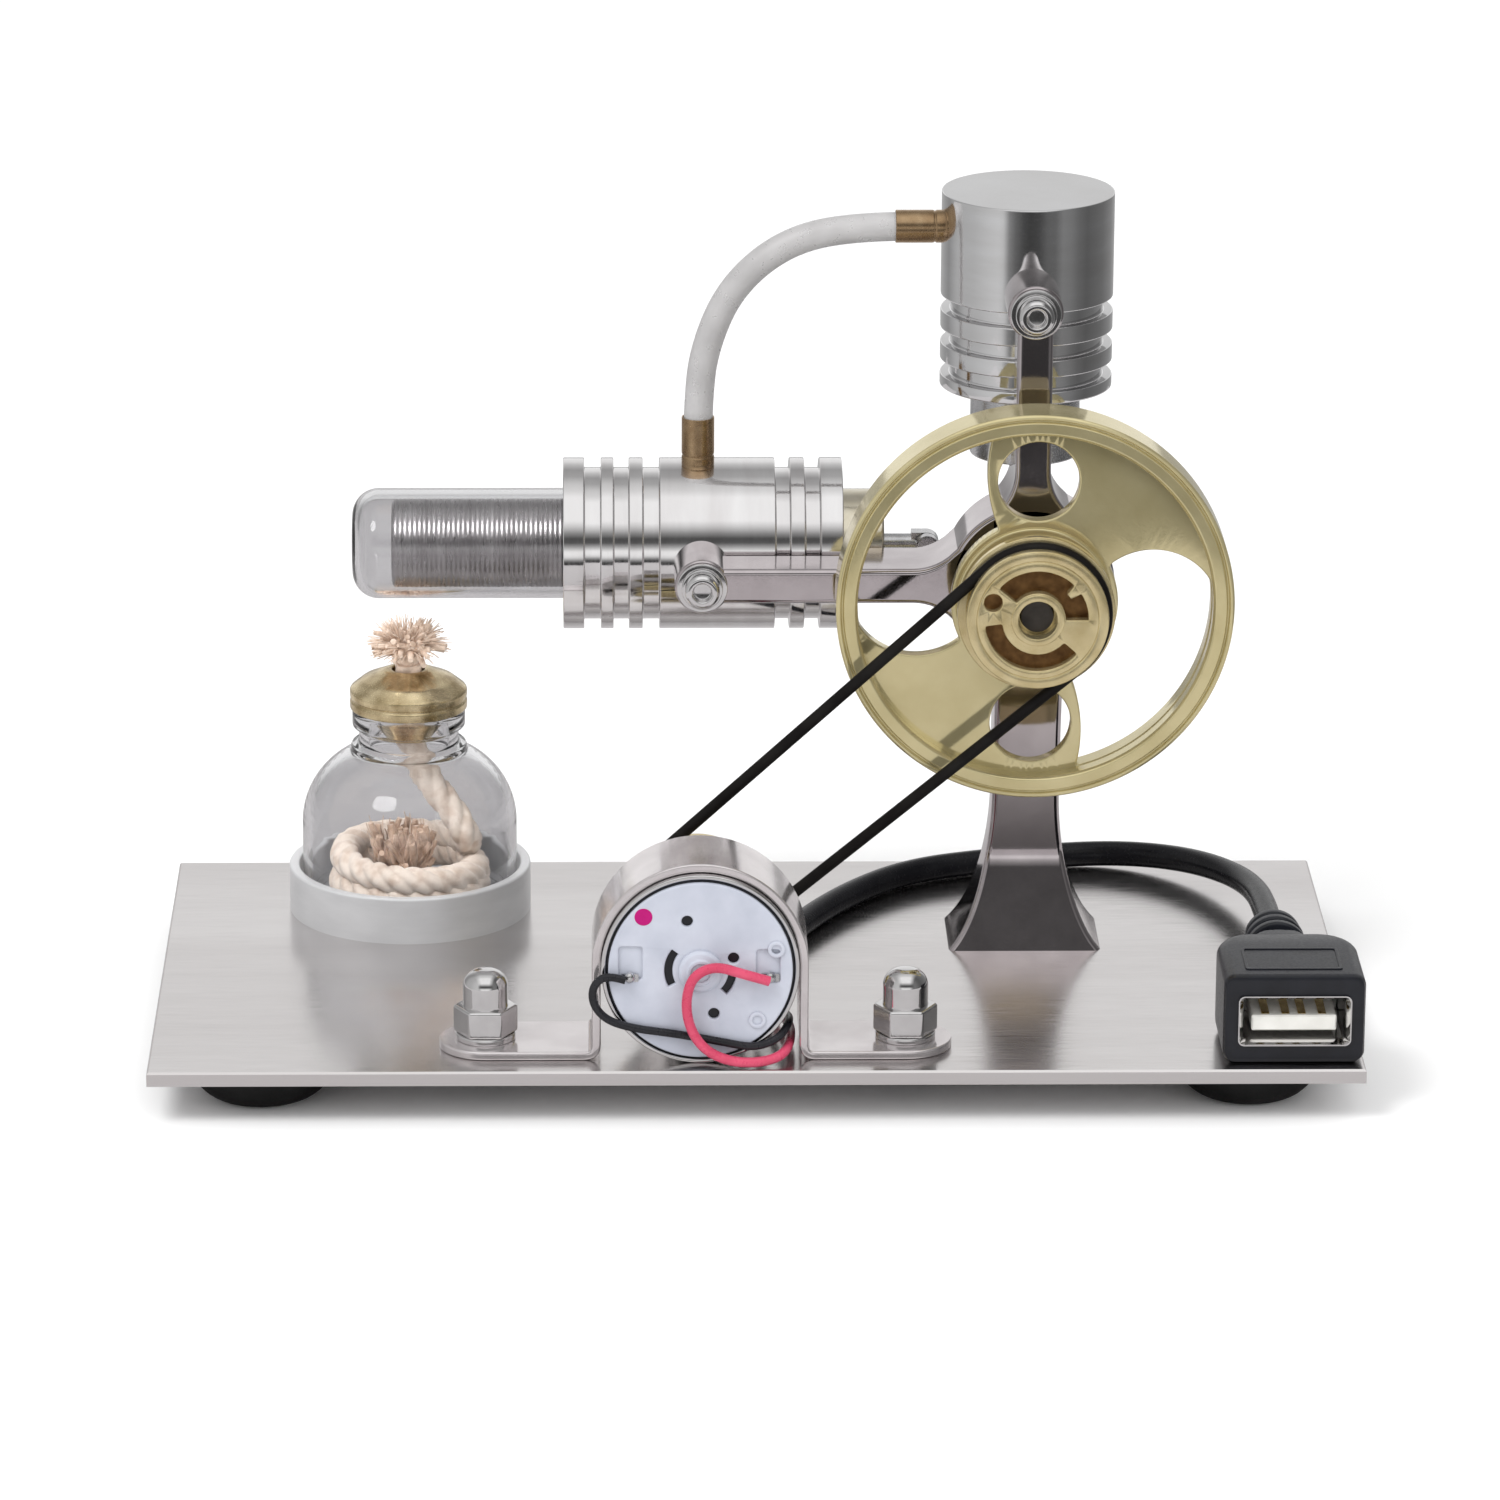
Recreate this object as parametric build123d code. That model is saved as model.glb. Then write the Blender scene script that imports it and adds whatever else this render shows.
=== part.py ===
from build123d import *

import os
from math import asin, cos, degrees, hypot, radians, sin, sqrt, tan

# Stirling engine model with a spirit lamp and a belt-driven generator, in millimetres.
# +X runs along the base plate towards the socket, +Y to the back and +Z up.
# The origin is under the middle of the plate, on the surface that the feet stand on.

# ---- driving dimensions ----

# base plate and feet
PLATE_L, PLATE_W, PLATE_T = 150.0, 80.0, 1.8
FOOT_H, FOOT_R, FOOT_FLAT_R = 5.2, 9.0, 4.5
FOOT_X, FOOT_Y = 61.3, 28.0
PLATE_Z = FOOT_H + PLATE_T

# the two cylinder axes cross the shaft axis in the plane y = ENGINE_Y
ENGINE_Y = 22.8
SHAFT_X, SHAFT_Z, SHAFT_R = 35.3, 56.2, 2.0
BARREL_R, GROOVE_R = 11.0, 9.75
CRANK_R, CRANK_ANGLE = 3.5, 260.0
DISPLACER_ROD_L, POWER_ROD_L = 12.3, 15.0
FIT = 0.02

# hot side, along X
HOT_X0 = -23.9
HOT_STEPS = (2.7, 2.13, 1.63, 1.97, 1.78, 2.13, 14.8, 1.9, 1.88, 1.96, 2.9)
HOT_X1 = HOT_X0 + sum(HOT_STEPS)
GLASS_X0, GLASS_X1, GLASS_R, GLASS_T = -51.0, -13.9, 7.1, 0.9
GUIDE_R, GUIDE_X0, GUIDE_X1 = 7.0, 5.0, 17.2
DISPLACER_X0, DISPLACER_X1, DISPLACER_R = -45.9, -9.5, 5.7
DISPLACER_STEM_R = 1.2

# cold side, along Z
COLD_Z0, COLD_Z1 = 77.5, 102.8
COLD_GROOVES = (80.0, 84.1, 88.4)
COLD_GROOVE_W = 1.9
LINER_R, BORE_R, LINER_Z0, LINER_Z1 = 7.0, 6.0, 68.4, 96.5
PISTON_R, PISTON_Z0, PISTON_Z1 = 5.95, 77.6, 85.6

# stand casting
ARM_Y0, ARM_Y1, WEB_Y1 = 2.8, 9.8, 13.3
BOSS_R, ARM_W, ARM_BLEND_R = 10.6, 4.5, 4.0
EYE_R = 3.5
HOT_EYE_X, COLD_EYE_Z = -6.3, 91.8
NECK_HALF, FOOT_HALF, NECK_Z = 4.3, 9.75, 27.5
COLUMN_FRONT = (4.4, 6.4)
COLUMN_BACK = 17.5
BEARING_R, BEARING_L, RACE_R = 5.0, 4.0, 3.5

# flywheel and drive pulley
RIM_R, RIM_IN_R, RIM_Y0, RIM_Y1 = 25.0, 22.3, -6.6, -0.6
WEB_Y0, WEB_T, WEB_HUB_R = -4.2, 2.2, 10.5
WEB_HOLE_R, WEB_HOLE_AT = 5.1, 15.8
HUB_R, HUB_Y1 = 4.5, 2.5
BELT_Y, BELT_R = -9.5, 0.75
DRIVE_R, MOTOR_PULLEY_R = 8.75, 7.45
GROOVE_HALF, FLANGE_T = 0.8, 1.4

# generator
MOTOR_X, MOTOR_Z, CAN_R, CAN_T = -7.0, 19.2, 12.2, 0.55
CAN_Y0, CAN_Y1, CAP_Y0 = -37.0, -25.0, -37.4
STRAP_Y0, STRAP_Y1, STRAP_T = -36.1, -24.6, 1.1
STUD_X = (-33.5, 18.5)
STUD_R = 1.95

# hoses and cords
PORT_X, PORT_Z, PORT_R, PORT_L = -6.6, 98.1, 2.1, 6.1
HOSE_D, USB_CABLE_D, RED_LEAD_D, BLACK_LEAD_D = 3.7, 3.3, 1.25, 1.0

# USB socket
USB_X, USB_Z, USB_W, USB_H = 66.15, 12.75, 17.5, 11.5
USB_Y0, USB_Y1, USB_Y2 = -38.0, -22.5, -15.2
SHELL_W, SHELL_H, SHELL_T = 13.2, 5.8, 0.35

# spirit lamp
LAMP_X, LAMP_Y = -44.0, 22.8
LAMP_RING_R, LAMP_RING_IN_R, LAMP_RING_H, LAMP_FLOOR_T = 15.7, 14.4, 6.1, 0.8
BOTTLE_R, NECK_R, LIP_R = 13.9, 6.45, 7.3
WICK_D = 3.8
WICK_HOLE_R = 2.1


# ---- helpers ----

def cyl(axis, radius, start, end, a, b):
    """Cylinder along x, y or z, from start to end. a and b are its other two coordinates."""
    middle = (start + end) / 2
    bar = Cylinder(radius, end - start)
    if axis == "x":
        return Pos(middle, a, b) * Rot(0, 90, 0) * bar
    if axis == "y":
        return Pos(a, middle, b) * Rot(90, 0, 0) * bar
    return Pos(a, b, middle) * bar


def ring(axis, outer, inner, start, end, a, b):
    """Plain tube along x, y or z."""
    return cyl(axis, outer, start, end, a, b) - cyl(axis, inner, start - 1, end + 1, a, b)


def block(x, y, z):
    """Box from three (low, high) pairs."""
    size = (x[1] - x[0], y[1] - y[0], z[1] - z[0])
    return Pos(sum(x) / 2, sum(y) / 2, sum(z) / 2) * Box(*size)


def face_of(*lines):
    """Face inside a closed chain of lines and arcs."""
    return make_face([edge for line in lines for edge in line.edges()])


def turned(*lines):
    """Solid of revolution about Z. The lines lie in the XZ plane."""
    return revolve(face_of(*lines), Axis.Z)


def turned_outline(points):
    """Solid of revolution about Z from a closed outline of (radius, height) points."""
    return turned(Polyline([(r, 0, h) for r, h in points], close=True))


def extrude_y(face, start, end):
    """Prism along Y. The face lies in the plane y = 0."""
    return Pos(0, start, 0) * extrude(face, amount=end - start, dir=(0, 1, 0))


def polar(radius, angle):
    """Point in the XZ plane, seen from the front, about the shaft axis."""
    return (SHAFT_X + radius * cos(radians(angle)), SHAFT_Z + radius * sin(radians(angle)))


def cord_tube(name, points, diameter):
    """Tube on straight runs joined by arcs as large as the runs allow."""
    corners = [Vector(*p) for p in points]
    runs = [b - a for a, b in zip(corners, corners[1:])]
    radii = []
    for run, following in zip(runs, runs[1:]):
        half_turn = radians(run.get_angle(following)) / 2
        radii.append(0.45 * min(run.length, following.length) / tan(half_turn))
    path = FilletPolyline(*corners, radius=radii)
    section = Plane(origin=path @ 0, z_dir=path % 0) * Circle(diameter / 2)
    tube = sweep(section, path=path)
    volume = section.area * path.length
    print(f"{name}: length {path.length:.1f}, radii " + " ".join(f"{r:.1f}" for r in radii))
    print(f"{name}: runs " + " ".join(f"{run.length:.1f}" for run in runs)
          + f", volume {tube.volume:.2f} against {volume:.2f}")
    return tube


# ---- base ----

def base_plate():
    plate = block((-PLATE_L / 2, PLATE_L / 2), (-PLATE_W / 2, PLATE_W / 2), (FOOT_H, PLATE_Z))
    for x, y in STAND_SCREWS:
        plate -= cyl("z", 1.6, FOOT_H - 1, PLATE_Z + 1, x, y)
    for x in STUD_X:
        plate -= cyl("z", STUD_R + 0.1, FOOT_H - 1, PLATE_Z + 1, x, STRAP_Y)
    return chamfer(plate.edges().group_by(Axis.Z)[-1].filter_by(GeomType.LINE), 0.25)


def rubber_feet():
    side = ThreePointArc((FOOT_FLAT_R, 0, 0), (8.0, 0, 2.1), (FOOT_R, 0, FOOT_H - 0.5))
    rest = Polyline((FOOT_R, 0, FOOT_H - 0.5), (FOOT_R, 0, FOOT_H), (0, 0, FOOT_H),
                    (0, 0, 0), (FOOT_FLAT_R, 0, 0))
    foot = turned(side, rest)
    return [Pos(x, y, 0) * foot for x in (-FOOT_X, FOOT_X) for y in (-FOOT_Y, FOOT_Y)]


# ---- spirit lamp ----

def at_lamp(shape):
    return Pos(LAMP_X, LAMP_Y, 0) * shape


def lamp_ring():
    z0, z1 = PLATE_Z, PLATE_Z + LAMP_RING_H
    floor = z0 + LAMP_FLOOR_T
    return at_lamp(turned_outline([
        (0, z0), (LAMP_RING_R - 0.3, z0), (LAMP_RING_R, z0 + 0.3), (LAMP_RING_R, z1 - 0.3),
        (LAMP_RING_R - 0.3, z1), (LAMP_RING_IN_R + 0.3, z1), (LAMP_RING_IN_R, z1 - 0.3),
        (LAMP_RING_IN_R, floor), (0, floor)]))


def lamp_bottle():
    base = BOTTLE_Z
    outside = [
        Polyline((0, 0, base), (BOTTLE_R - 0.9, 0, base), (BOTTLE_R, 0, base + 0.9),
                 (BOTTLE_R, 0, 18.0)),
        ThreePointArc((BOTTLE_R, 0, 18.0), (12.45, 0, 24.0), (7.9, 0, 28.2)),
        Polyline((7.9, 0, 28.2), (NECK_R, 0, 28.9), (NECK_R, 0, 31.3), (LIP_R, 0, 31.8),
                 (LIP_R, 0, 33.7), (LIP_R - 0.4, 0, 34.1), (5.2, 0, 34.1)),
    ]
    inside = [
        Polyline((5.2, 0, 34.1), (5.2, 0, 28.4), (7.2, 0, 27.2)),
        ThreePointArc((7.2, 0, 27.2), (11.5, 0, 23.4), (12.8, 0, 18.0)),
        Polyline((12.8, 0, 18.0), (12.8, 0, base + 1.9), (12.0, 0, base + 1.1),
                 (0, 0, base + 1.1), (0, 0, base)),
    ]
    return at_lamp(turned(*outside, *inside))


def lamp_cap():
    return at_lamp(turned_outline([
        (WICK_HOLE_R, 30.5), (2.8, 30.5), (5.1, 33.0), (5.1, 34.15), (7.6, 34.15),
        (7.6, 36.7), (7.35, 37.0), (3.0, 39.2), (2.5, 39.4), (WICK_HOLE_R, 39.4)]))


def wick_tuft():
    """Stem through the cap and the frayed bush above it."""
    stem = Polyline((0, 0, 30.5), (WICK_D / 2, 0, 30.5), (WICK_D / 2, 0, 39.8))
    lower = ThreePointArc((WICK_D / 2, 0, 39.8), (4.0, 0, 41.0), (4.8, 0, 43.0))
    upper = ThreePointArc((4.8, 0, 43.0), (3.9, 0, 45.2), (1.5, 0, 46.3))
    core = Polyline((1.5, 0, 46.3), (0, 0, 46.3), (0, 0, 30.5))
    return at_lamp(turned(stem, lower, upper, core))


WICK_ROUTE = [(0.0, 0.0, 30.45), (1.6, -0.2, 25.2), (5.6, -0.8, 20.4), (7.6, -1.4, 16.45)]
COIL_Z0, COIL_Z1, COIL_R, COIL_IN_R = 8.95, 16.4, 10.9, 4.6


def wick_rope():
    route = [(LAMP_X + x, LAMP_Y + y, z) for x, y, z in WICK_ROUTE]
    return cord_tube("wick_rope", route, WICK_D)


def wick_coil():
    corner = 1.6
    return at_lamp(turned_outline([
        (COIL_IN_R, COIL_Z0 + corner), (COIL_IN_R + corner, COIL_Z0), (COIL_R - corner, COIL_Z0),
        (COIL_R, COIL_Z0 + corner), (COIL_R, COIL_Z1 - corner), (COIL_R - corner, COIL_Z1),
        (COIL_IN_R + corner, COIL_Z1), (COIL_IN_R, COIL_Z1 - corner)]))


# ---- stand ----

def flare(start, end, sign):
    """Concave arc of a column edge, upright at its upper end. Points are (across, height)."""
    rise = end[1] - start[1]
    spread = abs(start[0] - end[0])
    radius = (rise ** 2 + spread ** 2) / (2 * spread)
    middle = end[0] + sign * (radius - sqrt(radius ** 2 - (rise / 2) ** 2))
    return middle, end[1] - rise / 2


def column():
    """Flared column: its front outline and its side outline, crossed."""
    x0, top = SHAFT_X, SHAFT_Z - BOSS_R + 2.0
    edges = []
    for sign in (-1, 1):
        low, high = (x0 + sign * FOOT_HALF, PLATE_Z), (x0 + sign * NECK_HALF, NECK_Z)
        middle = flare(low, high, sign)
        edges.append(ThreePointArc((low[0], 0, low[1]), (middle[0], 0, middle[1]),
                                   (high[0], 0, high[1])))
    left, right = edges
    front = face_of(left, right, Line(left @ 0, right @ 0),
                    Polyline(left @ 1, (x0 - NECK_HALF, 0, top), (x0 + NECK_HALF, 0, top),
                             right @ 1))
    foot_y, waist_y = COLUMN_FRONT
    middle = flare((COLUMN_BACK, PLATE_Z), (WEB_Y1, NECK_Z), 1)
    fore = ThreePointArc((0, foot_y, PLATE_Z), (0, waist_y, NECK_Z), (0, ARM_Y0, top))
    rear = ThreePointArc((0, COLUMN_BACK, PLATE_Z), (0, middle[0], middle[1]),
                         (0, WEB_Y1, NECK_Z))
    side = face_of(fore, rear, Line(fore @ 0, rear @ 0),
                   Polyline(rear @ 1, (0, WEB_Y1, top), (0, ARM_Y0, top)))
    side_prism = Pos(x0 - 20, 0, 0) * extrude(side, amount=40, dir=(1, 0, 0))
    return extrude_y(front, -20, 40) & side_prism


def stand_casting():
    left, up = SHAFT_X - HOT_EYE_X, COLD_EYE_Z - SHAFT_Z
    outline = Circle(BOSS_R) + Pos(-left / 2, 0) * Rectangle(left, ARM_W)
    outline += Pos(0, up / 2) * Rectangle(ARM_W, up)
    outline += Pos(0, -BOSS_R) * Rectangle(2 * NECK_HALF, 2 * BOSS_R - 4)
    corners = [v for v in outline.vertices() if abs(hypot(v.X, v.Y) - BOSS_R) < 0.01]
    outline = Pos(SHAFT_X, 0, SHAFT_Z) * Rot(90, 0, 0) * fillet(corners, ARM_BLEND_R)
    body = extrude_y(outline, ARM_Y0, WEB_Y1)
    # beside the cylinders the arms are thinner
    body -= block((HOT_EYE_X - 5, HOT_X1 + 2.6), (ARM_Y1, WEB_Y1 + 1), (SHAFT_Z - 9, SHAFT_Z + 9))
    body -= block((SHAFT_X - 9, SHAFT_X + 9), (ARM_Y1, WEB_Y1 + 1), (COLD_Z0 - 2.6, COLD_EYE_Z + 9))
    body += cyl("y", EYE_R, ARM_Y0, ENGINE_Y - 9, HOT_EYE_X, SHAFT_Z)
    body += cyl("y", EYE_R, ARM_Y0, ENGINE_Y - 9, SHAFT_X, COLD_EYE_Z)
    body -= cyl("x", BARREL_R + FIT, HOT_X0, HOT_X1, ENGINE_Y, SHAFT_Z)
    body -= cyl("z", BARREL_R + FIT, COLD_Z0, COLD_Z1, SHAFT_X, ENGINE_Y)
    body += column()
    # bearing seats, shaft clearance and screw holes
    body -= cyl("y", BEARING_R, ARM_Y0 - 1, ARM_Y0 + BEARING_L, SHAFT_X, SHAFT_Z)
    body -= cyl("y", BEARING_R, WEB_Y1 - BEARING_L, WEB_Y1 + 1, SHAFT_X, SHAFT_Z)
    body -= cyl("y", RACE_R, ARM_Y0, WEB_Y1, SHAFT_X, SHAFT_Z)
    body -= cyl("y", 1.3, ARM_Y0 - 1, ENGINE_Y, HOT_EYE_X, SHAFT_Z)
    body -= cyl("y", 1.3, ARM_Y0 - 1, ENGINE_Y, SHAFT_X, COLD_EYE_Z)
    for x, y in STAND_SCREWS:
        body -= cyl("z", 1.5, PLATE_Z - 1, PLATE_Z + 7.5, x, y)
    return body


def stand_screws():
    screws = []
    for x, y in STAND_SCREWS:
        screw = cyl("z", 2.8, FOOT_H - 1.8, FOOT_H, x, y) + cyl("z", 1.48, FOOT_H, PLATE_Z + 7, x, y)
        screws.append(screw - cyl("z", 1.2, FOOT_H - 2, FOOT_H - 0.8, x, y))
    return screws


def bearing_spans():
    """The two bearings' (start, end) along Y."""
    return ((ARM_Y0, ARM_Y0 + BEARING_L), (WEB_Y1 - BEARING_L, WEB_Y1))


def ball_track(middle):
    return Pos(SHAFT_X, middle, SHAFT_Z) * Rot(90, 0, 0) * Torus(RACE_R, 0.78)


def bearing_outer_rings():
    return [ring("y", BEARING_R - 0.01, 4.1, a, b, SHAFT_X, SHAFT_Z) - ball_track((a + b) / 2)
            for a, b in bearing_spans()]


def bearing_inner_rings():
    return [ring("y", 2.9, SHAFT_R, a, b, SHAFT_X, SHAFT_Z) - ball_track((a + b) / 2)
            for a, b in bearing_spans()]


def bearing_balls():
    balls = []
    for a, b in bearing_spans():
        for i in range(7):
            x, z = polar(RACE_R, 360 / 7 * i)
            balls.append(Pos(x, (a + b) / 2, z) * Sphere(0.75))
    return balls


def arm_screw_places():
    return ((HOT_EYE_X, SHAFT_Z), (SHAFT_X, COLD_EYE_Z))


def arm_screws():
    screws = []
    for x, z in arm_screw_places():
        head = cyl("y", 2.2, 0.1, 1.6, x, z)
        head = chamfer(head.edges().group_by(Axis.Y)[0], 0.4)
        socket = Pos(x, 0.55, z) * Rot(90, 0, 0) * extrude(RegularPolygon(1.1, 6), 0.5, both=True)
        screws.append(head + cyl("y", 1.25, 1.6, ENGINE_Y - 7.7, x, z) - socket)
    return screws


def arm_washers():
    """A flat washer and a spring washer under each screw head."""
    washers = []
    for x, z in arm_screw_places():
        washers.append(ring("y", 3.2, 1.3, 2.2, ARM_Y0, x, z))
        washers.append(ring("y", 2.6, 1.3, 1.6, 2.2, x, z))
    return washers


# ---- hot side ----

def displacer_cylinder():
    barrel = cyl("x", BARREL_R, HOT_X0, HOT_X1, ENGINE_Y, SHAFT_Z)
    x = HOT_X0
    for i, step in enumerate(HOT_STEPS):
        if i % 2:
            barrel -= ring("x", BARREL_R + 1, GROOVE_R, x, x + step, ENGINE_Y, SHAFT_Z)
        x += step
    barrel -= cyl("x", GLASS_R + 0.05, HOT_X0 - 1, GLASS_X1 + 0.05, ENGINE_Y, SHAFT_Z)
    barrel -= cyl("x", GLASS_R - GLASS_T, GLASS_X1, GUIDE_X0, ENGINE_Y, SHAFT_Z)
    barrel -= cyl("x", GUIDE_R + FIT, GUIDE_X0, HOT_X1 + 1, ENGINE_Y, SHAFT_Z)
    barrel -= cyl("x", GLASS_R + 0.8, SEAL_X - 0.8, SEAL_X + 0.8, ENGINE_Y, SHAFT_Z)
    barrel -= cyl("z", 1.5, SHAFT_Z, SHAFT_Z + 12, PORT_X, ENGINE_Y)
    barrel -= cyl("z", PORT_R + 0.1, HOT_PORT_Z0, SHAFT_Z + 12, PORT_X, ENGINE_Y)
    barrel -= cyl("y", 1.27, ENGINE_Y - 12, ENGINE_Y - 7.5, HOT_EYE_X, SHAFT_Z)
    return barrel


def rod_guide():
    guide = cyl("x", GUIDE_R, GUIDE_X0, GUIDE_X1, ENGINE_Y, SHAFT_Z)
    guide = chamfer(guide.edges().group_by(Axis.X)[-1], 0.5)
    return guide - cyl("x", DISPLACER_STEM_R + 0.04, GUIDE_X0 - 1, GUIDE_X1 + 1, ENGINE_Y, SHAFT_Z)


def glass_tube():
    """Test-tube glass: nearly flat end with a wide corner."""
    length, corner = GLASS_X1 - GLASS_X0, 3.4
    outer = fillet(Cylinder(GLASS_R, length).edges().group_by(Axis.Z)[0], corner)
    inner = fillet(Cylinder(GLASS_R - GLASS_T, length).edges().group_by(Axis.Z)[0],
                   corner - GLASS_T)
    tube = outer - Pos(0, 0, GLASS_T) * inner
    return Pos((GLASS_X0 + GLASS_X1) / 2, ENGINE_Y, SHAFT_Z) * Rot(0, 90, 0) * tube


def tube_seal():
    seal = Torus(GLASS_R + 0.4, 0.4)
    return Pos(SEAL_X, ENGINE_Y, SHAFT_Z) * Rot(0, 90, 0) * seal


def displacer():
    """Thin closed can, open at the rod end."""
    can = cyl("x", DISPLACER_R, DISPLACER_X0, DISPLACER_X1, ENGINE_Y, SHAFT_Z)
    can = fillet(can.edges().group_by(Axis.X)[0], 0.5)
    return can - cyl("x", DISPLACER_R - 0.4, DISPLACER_X0 + 0.6, DISPLACER_X1 + 1, ENGINE_Y, SHAFT_Z)


def displacer_rod():
    """End plug of the can, the rod and the flat tongue."""
    plug = cyl("x", DISPLACER_R - 0.42, DISPLACER_X1 - 3, DISPLACER_X1 - 0.2, ENGINE_Y, SHAFT_Z)
    stem = cyl("x", DISPLACER_STEM_R, DISPLACER_X1 - 1, HOT_WRIST_X - 1.5, ENGINE_Y, SHAFT_Z)
    y0, y1 = ENGINE_Y - 1.0, ENGINE_Y + 1.0
    tongue = block((HOT_WRIST_X - 2.0, HOT_WRIST_X), (y0, y1), (SHAFT_Z - 1.6, SHAFT_Z + 1.6))
    return plug + stem + tongue + cyl("y", 1.6, y0, y1, HOT_WRIST_X, SHAFT_Z)


# ---- cold side ----

def power_cylinder():
    barrel = cyl("z", BARREL_R, COLD_Z0, COLD_Z1, SHAFT_X, ENGINE_Y)
    barrel = chamfer(barrel.edges().filter_by(GeomType.CIRCLE), 0.3)
    for z in COLD_GROOVES:
        low, high = z - COLD_GROOVE_W / 2, z + COLD_GROOVE_W / 2
        barrel -= ring("z", BARREL_R + 1, GROOVE_R, low, high, SHAFT_X, ENGINE_Y)
    barrel -= cyl("z", LINER_R + FIT, COLD_Z0 - 1, LINER_Z1, SHAFT_X, ENGINE_Y)
    barrel -= cyl("z", BORE_R, LINER_Z1, COLD_Z1 - 3, SHAFT_X, ENGINE_Y)
    barrel -= cyl("x", 1.5, SHAFT_X - 12, SHAFT_X, ENGINE_Y, PORT_Z)
    barrel -= cyl("x", PORT_R + 0.1, SHAFT_X - 12, COLD_PORT_X1, ENGINE_Y, PORT_Z)
    barrel -= cyl("y", 1.27, ENGINE_Y - 12, ENGINE_Y - LINER_R - 0.5, SHAFT_X, COLD_EYE_Z)
    return barrel


def power_liner():
    return ring("z", LINER_R, BORE_R, LINER_Z0, LINER_Z1, SHAFT_X, ENGINE_Y)


def power_piston():
    piston = cyl("z", PISTON_R, PISTON_Z0, PISTON_Z1, SHAFT_X, ENGINE_Y)
    for z in (PISTON_Z0 + 2.0, PISTON_Z1 - 2.0):
        piston -= ring("z", PISTON_R + 1, PISTON_R - 0.25, z - 0.3, z + 0.3, SHAFT_X, ENGINE_Y)
    return piston - cyl("z", 1.22, PISTON_Z0 - 1, PISTON_Z0 + 4.5, SHAFT_X, ENGINE_Y)


def piston_fork():
    """Two cheeks that hang from the piston, one on each side of the connecting rod."""
    fork = cyl("z", 1.2, PISTON_Z0, PISTON_Z0 + 4, SHAFT_X, ENGINE_Y)
    fork += cyl("z", 5.0, PISTON_Z0 - 1.0, PISTON_Z0, SHAFT_X, ENGINE_Y)
    for y0 in (ENGINE_Y - 2.1, ENGINE_Y + 0.9):
        cheek = block((SHAFT_X - 1.6, SHAFT_X + 1.6), (y0, y0 + 1.2), (COLD_WRIST_Z, PISTON_Z0 - 0.5))
        fork += cheek + cyl("y", 1.6, y0, y0 + 1.2, SHAFT_X, COLD_WRIST_Z)
    return fork


def port_fitting():
    """Hose fitting along +Z, with its shoulder at z = 0."""
    body = turned_outline([(1.0, -3.5), (1.48, -3.5), (1.48, 0), (PORT_R, 0), (PORT_R, PORT_L),
                           (HOSE_D / 2 + 0.04, PORT_L), (HOSE_D / 2 + 0.04, PORT_L - 3),
                           (1.0, PORT_L - 3)])
    return body


def displacer_port():
    return Pos(PORT_X, ENGINE_Y, HOT_PORT_Z0) * port_fitting()


def power_port():
    return Pos(COLD_PORT_X1, ENGINE_Y, PORT_Z) * Rot(0, -90, 0) * port_fitting()


def air_hose():
    return cord_tube("air_hose", HOSE_ROUTE, HOSE_D)


# ---- crank ----

def crankshaft():
    return cyl("y", SHAFT_R - 0.01, PULLEY_Y0 + 1.6, DISC_Y1, SHAFT_X, SHAFT_Z)


def web_opening():
    """Upper left opening of the flywheel web, about the origin in the XZ plane."""
    inner, outer = WEB_HUB_R, RIM_IN_R - 0.1
    rim_low, hub_low = (-22.0, -sqrt(outer ** 2 - 22.0 ** 2)), (-9.3, -sqrt(inner ** 2 - 9.3 ** 2))
    rim_top, hub_top = (-5.6, sqrt(outer ** 2 - 5.6 ** 2)), (-4.6, sqrt(inner ** 2 - 4.6 ** 2))
    side = ThreePointArc(hub_top, (-6.1, 15.8), rim_top)
    wave = ThreePointArc(rim_low, (-14.4, -6.9), hub_low)
    hub = ThreePointArc(hub_low, (-inner * cos(radians(15)), inner * sin(radians(15))), hub_top)
    rim = ThreePointArc(rim_top, (-outer * cos(radians(35)), outer * sin(radians(35))), rim_low)
    opening = face_of(wave, hub, side, rim)
    return fillet(opening.vertices(), 0.8)


def flywheel():
    rim = ring("y", RIM_R, RIM_IN_R, RIM_Y0, RIM_Y1, SHAFT_X, SHAFT_Z)
    rim = chamfer(rim.edges().filter_by(GeomType.CIRCLE), 0.35)
    web = cyl("y", RIM_IN_R + 0.5, WEB_Y0, WEB_Y0 + WEB_T, SHAFT_X, SHAFT_Z)
    upright = Pos(SHAFT_X, WEB_Y0 - 1, SHAFT_Z) * Rot(90, 0, 0)
    for turn in (0, 180):
        hole = Rot(0, 0, turn) * (web_opening() + Pos(0.3, WEB_HOLE_AT) * Circle(WEB_HOLE_R))
        web -= extrude(upright * hole, amount=WEB_T + 2, dir=(0, 1, 0))
    wheel = rim + web + cyl("y", HUB_R, WEB_Y0 + WEB_T - 0.1, HUB_Y1, SHAFT_X, SHAFT_Z)
    wheel -= cyl("y", SHAFT_R, RIM_Y0 - 1, HUB_Y1 + 1, SHAFT_X, SHAFT_Z)
    return wheel - cyl("z", 0.82, SHAFT_Z, SHAFT_Z + HUB_R + 1, SHAFT_X, 0.4)


def hub_screw():
    screw = cyl("z", 0.8, SHAFT_Z + SHAFT_R, SHAFT_Z + HUB_R - 0.2, SHAFT_X, 0.4)
    return screw - cyl("z", 0.4, SHAFT_Z + HUB_R - 1.2, SHAFT_Z + HUB_R, SHAFT_X, 0.4)


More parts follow.
